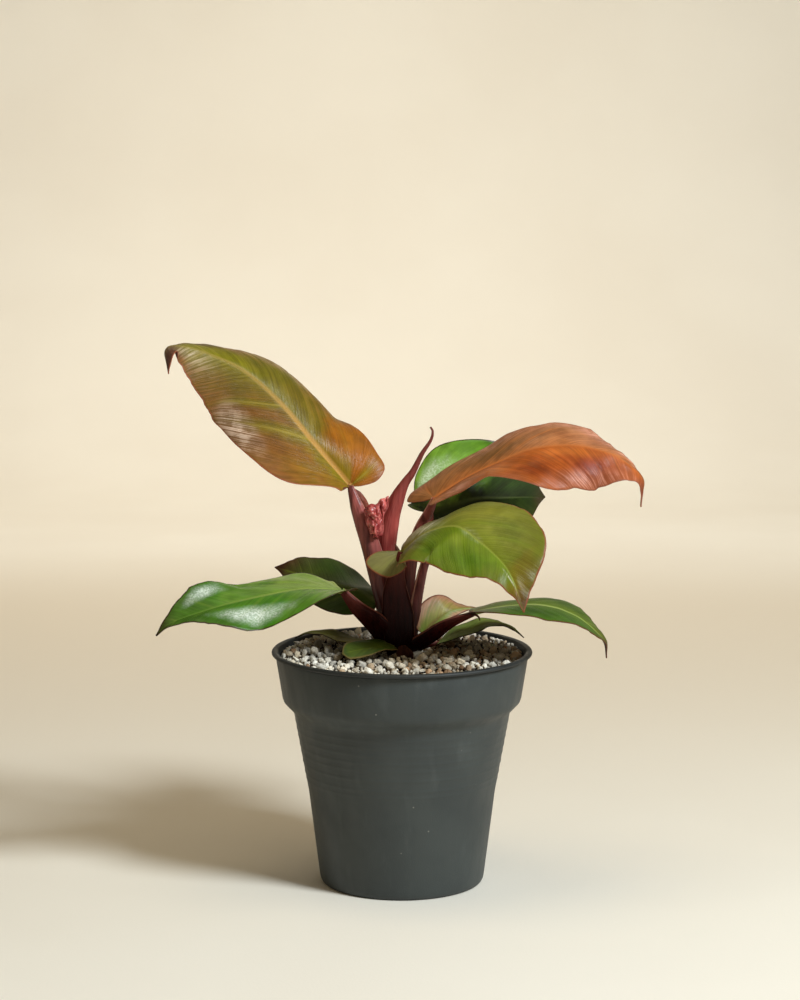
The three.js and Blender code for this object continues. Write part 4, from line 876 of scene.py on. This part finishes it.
def pot_profile():
    """Half section of the pot, from the middle of its underside round to the middle of its floor."""
    heights = np.concatenate([np.linspace(BODY_FOOT + 2, BODY_WAIST, 12),
                              np.linspace(BODY_WAIST + 1, BODY_TOP - 2, 90)])
    radii = np.interp(heights, [BODY_FOOT, BODY_WAIST, BODY_TOP],
                      [BODY_FOOT_RADIUS, BODY_WAIST_RADIUS, BODY_TOP_RADIUS])
    for height, depth in POT_RIBS:
        radii = radii + depth * np.exp(-((heights - height) / RIB_WIDTH) ** 2)
    under = RIM_HEIGHT - LIP
    rounded = [
        (FOOT_RADIUS, 0, [(-1.2, 0), (-0.2, 0.15), (0.6, 0.6)]),
        (BODY_FOOT_RADIUS, BODY_FOOT, [(-0.35, -1.5), (-0.02, 0)]),
        (0, 0, list(zip(radii, heights))),
        (BODY_TOP_RADIUS, BODY_TOP, [(-0.1, -0.7), (0.5, 0.5), (1.6, 1.7)]),
        (COLLAR_FOOT_RADIUS, COLLAR_FOOT, [(-1.6, -2.1), (-0.5, -0.9), (0.02, 0.6), (0.25, 2)]),
        (COLLAR_TOP_RADIUS, under, [(-0.05, -0.9), (-0.25, -0.35), (-0.15, 0), (0.25, 0.12)]),
        (RIM_RADIUS, under, [(-0.5, 0.2), (-0.1, 0.4), (0, 0.8), (-0.12, 1.3), (-0.5, 1.7), (-1, 1.9),
                             (-1.9, 1.88)]),
        (COLLAR_TOP_RADIUS - WALL, RIM_HEIGHT, [(0.3, -0.35), (0, -1.1)]),
        (-WALL, 0, [(COLLAR_FOOT_RADIUS, COLLAR_FOOT + 1), (BODY_TOP_RADIUS, BODY_TOP + 0.8),
                    (BODY_WAIST_RADIUS, BODY_WAIST), (BODY_FOOT_RADIUS, FLOOR + 1.5), (FOOT_RADIUS, FLOOR)])]
    outline = [(radius + out, height + up) for radius, height, steps in rounded for out, up in steps]
    return [(0, 0), *outline, (0, FLOOR)]


def turned(profile, sides):
    """Closed mesh of a profile turned about the Z axis, whose first and last points are on the axis."""
    ring = np.array(profile[1:-1], float)
    angle = np.arange(sides) / sides * TURN
    radius, height = ring[:, :1], ring[:, 1:]
    points = np.stack([radius * np.cos(angle), radius * np.sin(angle), height * np.ones(sides)], -1)
    flat = np.vstack([points.reshape(-1, 3), [0, 0, profile[0][1]], [0, 0, profile[-1][1]]])
    count = len(ring) * sides
    first, last = np.arange(sides), np.arange(count - sides, count)
    faces = grid_faces(len(ring), sides, True).tolist()
    faces += [[count, b, a] for a, b in zip(first, np.roll(first, -1))]
    faces += [[count + 1, a, b] for a, b in zip(last, np.roll(last, -1))]
    return flat, faces


def pot_piece(material):
    pot = add_piece("pot_fine", *turned(pot_profile(), POT_SIDES), material, "pot", ("pot",))
    for i in range(DRAIN_COUNT):
        angle = i / DRAIN_COUNT * TURN
        bpy.ops.mesh.primitive_cylinder_add(
            vertices=DRAIN_SIDES, radius=DRAIN_RADIUS * MM, depth=DRAIN_DEPTH * MM,
            location=(DRAIN_RING * MM * math.cos(angle), DRAIN_RING * MM * math.sin(angle), 0))
        drill = bpy.context.object
        cut = pot.modifiers.new("drain", "BOOLEAN")
        cut.object = drill
        cut.solver = "EXACT"
        apply_modifiers(pot)
        bpy.data.objects.remove(drill)
    pot.data.shade_smooth()
    pot.data.set_sharp_from_angle(angle=math.radians(POT_SHARP_ANGLE))


def apply_modifiers(piece):
    graph = bpy.context.evaluated_depsgraph_get()
    shown = piece.evaluated_get(graph)
    mesh = bpy.data.meshes.new_from_object(shown, preserve_all_data_layers=True, depsgraph=graph)
    piece.modifiers.clear()
    piece.data = mesh


def bed_height(x, y):
    radius = np.hypot(x, y)
    rise = BED_BACK_RISE * smooth(y, -10, 45) + BED_SIDE_RISE * smooth(np.abs(x), 15, 50)
    return BED_TOP + BED_MOUND * (1 - (radius / BED_RADIUS) ** 2) + rise * smooth(radius, 10, 40)


def icosphere(subdivisions):
    bpy.ops.mesh.primitive_ico_sphere_add(subdivisions=subdivisions, radius=1)
    ball = bpy.context.object
    points = np.array([v.co for v in ball.data.vertices])
    faces = np.array([p.vertices for p in ball.data.polygons])
    bpy.data.objects.remove(ball)
    return points, faces


def rotations(count):
    """Random turns as rotation matrices."""
    q = unit(RNG.normal(size=(count, 4)))
    w, x, y, z = q.T
    return np.stack([
        np.stack([1 - 2 * (y * y + z * z), 2 * (x * y - z * w), 2 * (x * z + y * w)], -1),
        np.stack([2 * (x * y + z * w), 1 - 2 * (x * x + z * z), 2 * (y * z - x * w)], -1),
        np.stack([2 * (x * z - y * w), 2 * (y * z + x * w), 1 - 2 * (x * x + y * y)], -1)], -2)


def stones(places, radii, ball, squash=(0.6, 1.0), cuts=10, depth=(0.5, 0.95), pits=0.3):
    """Broken stones: pitted balls cut by random planes, squashed and turned. Also gives stone numbers."""
    points, faces = ball
    count = len(places)
    planes = unit(RNG.normal(size=(count, cuts, 3)))
    reach = RNG.uniform(*depth, size=(count, cuts))
    towards = np.einsum("vk,nck->nvc", points, planes)
    limit = np.where(towards > 0.05, reach[:, None] / np.maximum(towards, 0.05), 9).min(-1)
    size = np.minimum(limit, 1)
    waves_in = RNG.normal(size=(count, LUMP_WAVES, 3)) * np.linspace(*LUMP_PACE, LUMP_WAVES)[:, None]
    starts = RNG.uniform(0, TURN, size=(count, 1, LUMP_WAVES))
    lumps = np.sin(np.einsum("vk,nck->nvc", points, waves_in) + starts).mean(-1) * 1.4
    rough = points[None] * (size * (1 + pits * lumps + 0.035 * RNG.normal(size=size.shape)))[..., None]
    rough *= RNG.uniform(*squash, size=(count, 1, 3))
    solid = np.einsum("nij,nvj->nvi", rotations(count), rough)
    solid = solid * np.asarray(radii)[:, None, None] + np.asarray(places)[:, None]
    index = faces[None] + (np.arange(count) * len(points))[:, None, None]
    return solid.reshape(-1, 3), index.reshape(-1, 3), np.repeat(np.arange(count), len(points))


def bare_and_shaded(x, y):
    """Free of stones from 0 to 1: dark mix shows at the back right and beside a low leaf, partly painted
    shade.
    """
    return max(power * math.exp(-((x - right) / wide) ** 2 - ((y - back) / deep) ** 2)
               for right, back, wide, deep, power in BARE_AND_SHADED_PLACES)


def scatter(count, radii, spacing, taken, sink=0.25, everywhere=False):
    """Seeded places for stones on the bed, clear of what is taken, which is added to."""
    made = []
    for _ in range(count):
        radius = RNG.uniform(*radii)
        for _ in range(TRIES):
            distance = math.sqrt(RNG.uniform(STEM_CLEARANCE ** 2, (BED_RADIUS - radius) ** 2))
            angle = RNG.uniform(0, TURN)
            x, y = distance * math.cos(angle), distance * math.sin(angle)
            if not everywhere and RNG.uniform() < bare_and_shaded(x, y):
                continue
            if taken:
                others = np.array(taken)
                gaps = np.hypot(others[:, 0] - x, others[:, 1] - y) - spacing * (others[:, 2] + radius)
                if gaps.min() < 0:
                    continue
            taken.append((x, y, radius))
            made.append((x, y, bed_height(x, y) + radius * (1 - sink) - 1.0, radius))
            break
    return np.array(made)


def patch_distance(s, share, across, place):
    """How far a point lies from a patch's centre: 1 at its edge. The place is given along and across."""
    centre, edge, long, wide = place
    lengthways, sideways = (share - centre) * (1 / long), (across - edge) * (1 / wide)
    return s.math("SQRT", s.math("POWER", lengthways, 2.0) + s.math("POWER", sideways, 2.0))


def leaf_material(name, look):
    s = Shader(name)
    share, across, vein, grain, rib, rim, under = (
        s.attribute(key) for key in ("along", "across", "vein", "grain", "rib", "rim", "under"))
    side, reach = s.smooth(across, -0.03, 0.03), s.math("ABSOLUTE", across)
    cloud, mottle = s.smooth(s.noise(22, 3), 0.3, 0.7), s.smooth(s.noise(5, 4), 0.3, 0.7)
    streak = s.smooth(s.noise_at(s.vector(grain * 0.7, rib * 0.05, side * 7.0), 5), 0.3, 0.7)
    thread = s.smooth(s.noise_at(s.vector(grain * 2.6, rib * 0.1, side * 7.0), 2), 0.3, 0.7)
    shifted = share + (cloud - 0.5) * 0.22
    colour = s.mix(side, s.ramp(shifted, look["left"]), s.ramp(shifted, look["right"]))
    outwards = reach + (cloud - 0.5) * 0.5 + (streak - 0.5) * 0.3
    blush = s.smooth(outwards, *look["blush_span"], 0.0, look["blush_strength"])
    colour = s.mix(blush, colour, look["blush"])
    # Side veins and the glow round them, which fade towards the margin and the tip
    apart = s.math("PINGPONG", vein, 0.5) * look["vein_gap"]
    power = s.smooth(s.random(s.math("ROUND", vein) + side * 37.0), 0.1, 0.9, 0.15, 1.0)
    body = s.smooth(share, *look["tip_span"], 1.0, 0.0)
    fade = power * body * s.smooth(reach, 0.35, 0.95, 1.0, 0.1)
    heart = s.smooth(rib + cloud * 6.0, 2.5, 13.0, 1.0, 0.0) * s.smooth(grain, -6.0, 0.0) * body
    halo = s.math("MAXIMUM", s.smooth(apart, 0.0, look["halo_width"], 1.0, 0.0) * fade, heart)
    colour = s.mix(halo * look["halo_strength"], colour, look["halo"])
    ragged = (cloud * 0.6 + mottle * 0.4) * 0.45
    for *place, strength, tint in look["patches"]:
        far = patch_distance(s, share, across, place) + ragged
        colour = s.mix(s.smooth(far, 0.25, 1.15, strength, 0.0), colour, tint)
    shade = streak * 0.5 + thread * 0.2 + mottle * 0.3
    colour = s.tone(colour, shade, *look["streak_tone"])
    colour = s.mix(body, s.mix(0.6, colour, look["tip"]), colour)
    # Painted sheen: lighter streaky or grainy patches that stand in for glossy highlights
    sheen_texture = s.smooth(shade, 0.35, 0.75, 0.12, 1.0)
    if look["grainy_sheen"]:
        sheen_texture = s.smooth(s.noise(0.9, 3), 0.4, 0.62, 0.5, 1.0)
    for *place, strength in look["painted_sheen"]:
        far = patch_distance(s, share, across, place) + (ragged - 0.22) * 0.8
        colour = s.mix(s.smooth(far, 0.0, 1.0, strength, 0.0) * sheen_texture, colour, look["painted_sheen_colour"])
    line = s.smooth(apart, 0.15, look["vein_width"], 1.0, 0.0) * fade
    colour = s.mix(line * look["vein_strength"], colour, look["vein"])
    # Midrib, rim and underside
    wide = look["midrib_width"]
    ridge = s.smooth(rib + share * (wide * 0.65), wide * 0.3, wide, 1.0, 0.0)
    ridge = ridge * s.smooth(body, 0.0, 1.0, 0.3, 1.0)
    bone = s.mix(s.smooth(share, 0.1, 0.9), look["midrib"], look["midrib_tip"])
    colour = s.mix(ridge * look["midrib_strength"], colour, bone)
    colour = s.mix(s.smooth(rim + mottle * 0.4, 0.3, look["rim_width"] + 0.3, 0.9, 0.0), colour, look["rim"])
    below = s.mix(ridge * 0.6, s.tone(look["under"], streak, 0.85, 1.15), bone)
    colour = s.mix(s.smooth(under, 0.55, 0.95), colour, below)
    relief = streak * 0.6 + thread * look["thread_relief"] + s.noise(0.45, 2) * 0.3 - line * 0.4
    gloss = look["gloss"]
    roughness = s.smooth(streak + mottle * 0.6, 0.5, 1.1, gloss - 0.05, gloss + 0.09) + under * 0.12
    return s.finish(colour, roughness, s.bump(relief, look["relief"]), Specular_IOR_Level=0.0,
                    Coat_Weight=look["coat"], Coat_Roughness=gloss)


def stalk_material(name, outer, inner, edge, dark, gloss, coat, top=None, foot=(0.05, 0.75)):
    """Skin of a stalk: dark at its foot, its own colour above, finely ridged, with other thin edges."""
    s = Shader(name)
    share, wing, inside, around = (s.attribute(key) for key in ("along", "wing", "inside", "around"))
    streak, cloud = s.noise(2.2, 4, stretch=[1.0, 1.0, 0.12]), s.noise(12, 3)
    colour = s.mix(s.smooth(share, *foot), dark, outer)
    colour = s.mix(s.smooth(streak, 0.35, 0.7, 0.0, 0.7), colour, dark)
    colour = s.tone(s.mix(inside, colour, inner), cloud, 0.8, 1.2)
    if top:
        colour = s.mix(s.smooth(share, 0.55, 0.9, 0.0, 0.8), colour, top)
    colour = s.mix(s.smooth(wing, 0.75, 0.99, 0.0, 0.85), colour, edge)
    ridges = s.math("SINE", around * (TURN * 22) + cloud * 4.0)
    normal = s.bump(ridges * 0.25 + streak * 0.5 + s.noise(0.5, 2) * 0.3, 0.12)
    roughness = s.smooth(streak, 0.2, 0.8, gloss - 0.04, gloss + 0.08)
    return s.finish(colour, roughness, normal, Specular_IOR_Level=0.0, Coat_Weight=coat, Coat_Roughness=gloss)


def pot_material():
    s = Shader("pot_plastic")
    cloud, smear, fine = s.noise(30, 4), s.noise(9, 5, stretch=[1.0, 1.0, 0.3]), s.noise(0.6, 3)
    colour = s.mix(s.smooth(cloud, 0.3, 0.7), (50, 56, 56), (59, 65, 64))
    colour = s.mix(s.smooth(smear, 0.52, 0.72, 0.0, 0.35), colour, (80, 85, 83))
    specks = s.smooth(s.cells(7), 0.03, 0.07, 1.0, 0.0) * s.smooth(s.noise(15, 2), 0.52, 0.6)
    colour = s.mix(specks * 0.6, colour, (150, 146, 136))
    # Painted shade: the top of the rim, the lip, is darkened where the rim's edge looks dark
    painted_lip_shade = s.smooth(s.axis(2), (RIM_HEIGHT - 2.6) * MM, (RIM_HEIGHT - 1.9) * MM)
    colour = s.mix(painted_lip_shade * 0.75, colour, (26, 27, 26))
    normal = s.bump(fine * 0.6 + smear * 0.4, 0.1)
    return s.finish(colour, s.smooth(smear, 0.3, 0.7, 0.46, 0.62), normal, Specular_IOR_Level=0.45)


def pumice_material():
    s = Shader("pumice_stone")
    colour = s.ramp(s.attribute("tint"), [(0, 243, 238, 225), (0.35, 236, 227, 208), (0.55, 220, 202, 172),
                                          (0.78, 204, 166, 130), (1, 162, 126, 94)])
    pores = s.cells(0.5)
    colour = s.mix(s.smooth(s.noise(2.6, 5), 0.52, 0.75, 0.0, 0.5), colour, (112, 98, 74))
    colour = s.mix(s.smooth(pores, 0.0, 0.3, 0.5, 0.0), colour, (88, 78, 62))
    colour = s.tone(colour, s.attribute("tone"), 0.66, 1.22)
    relief = s.smooth(pores, 0.0, 0.4) * 0.7 + s.noise(0.45, 4) * 0.6
    return s.finish(colour, 0.92, s.bump(relief, 0.4), Specular_IOR_Level=0.2)


def soil_material(name="soil", light=1.0):
    s = Shader(name)
    lumps, fine = s.noise(2.6, 5), s.noise(0.7, 3)
    colour = s.mix(s.smooth(lumps, 0.35, 0.68), (34, 25, 18), (86 * light, 66 * light, 46 * light))
    colour = s.mix(s.smooth(fine, 0.6, 0.75, 0.0, 0.5), colour, (124, 104, 78))
    return s.finish(colour, 0.92, s.bump(lumps * 0.7 + fine * 0.3, 0.9), Specular_IOR_Level=0.2)


def cataphyll_material():
    s = Shader("cataphyll_skin")
    folds = s.noise(3.2, 3, distortion=0.8)
    colour = s.mix(s.smooth(folds, 0.38, 0.66), (150, 52, 54), (214, 108, 102))
    # Painted highlight: pale pink flecks on the crumpled folds
    colour = s.mix(s.smooth(s.noise(1.1, 2), 0.6, 0.76, 0.0, 0.7), colour, (240, 180, 162))
    return s.finish(colour, 0.3, s.bump(folds + s.noise(0.8, 2) * 0.15, 0.22), Specular_IOR_Level=0.5)


def paper_material():
    """Pale paper, a little darker where the floor goes back, as painted shade."""
    s = Shader("paper")
    colour = s.mix(s.smooth(s.noise(260, 3), 0.3, 0.7), (240, 234, 221), (244, 239, 227))
    depth = s.axis(1)
    # Painted shade: darker on the floor some way back, where less light reaches
    back = s.smooth(depth, -0.2, 0.62) * s.smooth(depth, 0.68, 1.1, 1.0, 0.0)
    colour = s.mix(back, colour, (224, 213, 194))
    return s.finish(colour, 0.85, s.bump(s.noise(1.5, 2), 0.05), Specular_IOR_Level=0.2)


def bed_piece(material):
    """Dark crumbly surface under the stones."""
    rings, sides = BED_RINGS, BED_SIDES
    radius = np.linspace(STEM_CLEARANCE - 1.5, BED_RADIUS + 0.6, rings)[:, None]
    angle = np.arange(sides)[None] / sides * TURN
    bumps = RNG.normal(size=(rings, sides)) * BED_BUMPS
    x, y = radius * np.cos(angle), radius * np.sin(angle)
    z = bed_height(x, y) - BED_SINK + bumps + BED_WAVES * np.sin(x * 0.5) * np.cos(y * 0.43)
    top = np.stack([x, y, z], -1).reshape(-1, 3)
    low = top * [1, 1, 0] + [0, 0, BED_TOP - BED_DEPTH]
    quads, count = grid_faces(rings, sides, True), rings * sides
    outer, inner = np.arange(count - sides, count), np.arange(sides)
    walls = [[b, a, a + count, b + count] for a, b in zip(outer, np.roll(outer, -1))]
    walls += [[a, b, b + count, a + count] for a, b in zip(inner, np.roll(inner, -1))]
    faces = quads[:, ::-1].tolist() + (quads + count).tolist() + walls
    add_piece("bed_surface", np.vstack([top, low]), faces, material, "potting_mix")


def grit_tints(places):
    """Mostly pale, from 0 to 1, with more tan stones in the middle of the right half."""
    tan = np.exp(-((places[:, 0] - TAN_PLACE) / TAN_WIDTH) ** 2) * TAN_SHARE
    return np.clip(RNG.beta(1.4, 4.0, len(places)) + tan, 0, 1)


def grit_pieces():
    taken = []
    large = scatter(*LARGE_STONES, taken)
    medium = scatter(*MEDIUM_STONES, taken)
    small = scatter(*SMALL_STONES, taken)
    material = pumice_material()
    coarse = np.vstack([large, medium])
    for name, places, rounds, nodes in (("pumice_stones", coarse, 3, ("pumice_top_dressing",)),
                                        ("pumice_grains", small, 2, ())):
        points, faces, number = stones(places[:, :3], places[:, 3], icosphere(rounds))
        tint, tone = grit_tints(places), RNG.uniform(0, 1, len(places))
        add_piece(name, points, faces, material, "pumice", nodes, dict(tint=tint[number], tone=tone[number]))
    crumbs = scatter(*CRUMBS, [], sink=0.0, everywhere=True)
    points, faces, _ = stones(crumbs[:, :3], crumbs[:, 3], icosphere(1), squash=(0.35, 1.2))
    add_piece("soil_crumbs", points, faces, soil_material("crumbs", 0.85), "potting_mix")


def cataphyll_pieces():
    """Crumpled pinkish sheath remains between the first petiole and the spear."""
    material = cataphyll_material()
    rows, columns = CATAPHYLL_ROWS, CATAPHYLL_COLUMNS
    v, u = np.meshgrid(np.linspace(0, 1, rows), np.linspace(0, 1, columns), indexing="ij")
    edge = smooth(np.minimum(np.minimum(u, 1 - u), np.minimum(v, 1 - v)), 0, 0.08) * 0.7 + 0.3
    for number, (name, corners) in enumerate(CATAPHYLL_SHEETS.items()):
        a, b, c, d = (np.array(corner) for corner in corners)
        low, high = a + (b - a) * u[..., None], c + (d - c) * u[..., None]
        points = low + (high - low) * v[..., None]
        points[..., 1] -= 2.2 * np.sin(math.pi * u) * np.sin(math.pi * (0.15 + 0.7 * v))
        for depth, across, upward in CATAPHYLL_WAVES:
            bend = across * u + upward * v + 1.3 * np.sin(5 * v + 3 * u + number)
            ridge = 1 - 2 * np.abs(np.sin(bend / 2 + number * 2))
            points[..., 1] += depth * ridge * edge
            points[..., 0] += 0.35 * depth * np.cos(bend)
            points[..., 2] += 0.3 * depth * np.sin(bend * 1.3)
        faces = grid_faces(rows, columns).tolist()
        solid, quads, _, _ = shell(points.reshape(-1, 3), faces, CATAPHYLL_HALF, CATAPHYLL_HALF)
        add_piece(name, solid, quads, material, "cataphyll", () if number else ("cataphyll",))


def stage_piece():
    """Pale floor that curves up into a backdrop."""
    bend = [(STAGE_BACK - STAGE_BEND + STAGE_BEND * math.sin(a), STAGE_BEND - STAGE_BEND * math.cos(a))
            for a in np.linspace(0, math.pi / 2, STAGE_STEPS)]
    profile = [(STAGE_FRONT, 0.0), *bend, (STAGE_BACK, STAGE_HEIGHT)]
    points = [(x, y, z) for x in (-STAGE_WIDTH, STAGE_WIDTH) for y, z in profile]
    count = len(profile)
    faces = [[i, i + 1, i + 1 + count, i + count] for i in range(count - 1)]
    mesh = bpy.data.meshes.new("backdrop")
    mesh.from_pydata(points, [], faces)
    mesh.polygons.foreach_set("use_smooth", [True] * len(faces))
    mesh.materials.append(paper_material())
    link(bpy.data.objects.new("backdrop", mesh))


def area_light(name, place, target, size, watts, colour):
    light = bpy.data.lights.new(name, "AREA")
    light.shape = "DISK"
    light.size = size
    light.energy = watts
    light.color = colour
    lamp = link(bpy.data.objects.new(name, light))
    lamp.location = place
    lamp.rotation_euler = (Vector(target) - Vector(place)).to_track_quat("-Z", "Y").to_euler()
    return light


def lights_and_camera():
    lights = {name: area_light(name, *settings) for name, settings in LIGHTS.items()}
    lights["wall_wash"].spread = math.radians(WASH_SPREAD)
    world = bpy.data.worlds.new("studio")
    world.use_nodes = True
    background = world.node_tree.nodes["Background"].inputs
    background["Color"].default_value = WORLD_COLOUR
    background["Strength"].default_value = WORLD_STRENGTH
    lens = bpy.data.cameras.new("camera")
    lens.sensor_fit = "HORIZONTAL"
    lens.sensor_width = CAMERA_SENSOR
    lens.lens = CAMERA_LENS
    lens.clip_end = 20
    camera = link(bpy.data.objects.new("camera", lens))
    camera.location = Vector(CAMERA_PLACE) * MM
    camera.rotation_euler = (math.radians(90 - CAMERA_PITCH), 0, 0)
    scene = bpy.context.scene
    scene.world = world
    scene.camera = camera
    scene.view_settings.view_transform = "Standard"


def blades():
    for seed, (key, leaf) in enumerate(LEAVES.items()):
        leaf["route"] = Route(leaf["midrib"], leaf["faces"])
        leaf["length"] = leaf["route"].length
        look = dict(LOOK, **LOOKS[key], vein_gap=leaf["vein_gap"])
        blade_piece(key, leaf, leaf_material(f"leaf_{key}", look), seed)


def stalks(skins):
    for key, stalk in STALKS.items():
        stalk["path"].append(LEAVES[key]["midrib"][0])
        stalk_piece(f"petiole_{key}", stalk, skins["petiole_pink" if key in "abc" else "petiole_skin"])
    spear_piece(skins["spear_skin"])
    stalk_piece("sheath_stub", STUB, skins["dry_sheath_skin"], "dry_sheath", STUB_RINGS)


def main():
    lights_and_camera()
    stage_piece()
    blades()
    skins = {name: stalk_material(name, *skin) for name, skin in SKINS.items()}
    stalks(skins)
    cataphyll_pieces()
    for name, (skin, slot, thickness, path) in TWIGS.items():
        twig_piece(name, path, thickness, skins[skin], slot)
    pot_piece(pot_material())
    bed_piece(soil_material())
    grit_pieces()
    for node, material in (("potting_mix", soil_material("mix")), ("stem", skins["petiole_skin"])):
        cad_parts[node].data.materials.clear()
        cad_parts[node].data.materials.append(material)


main()
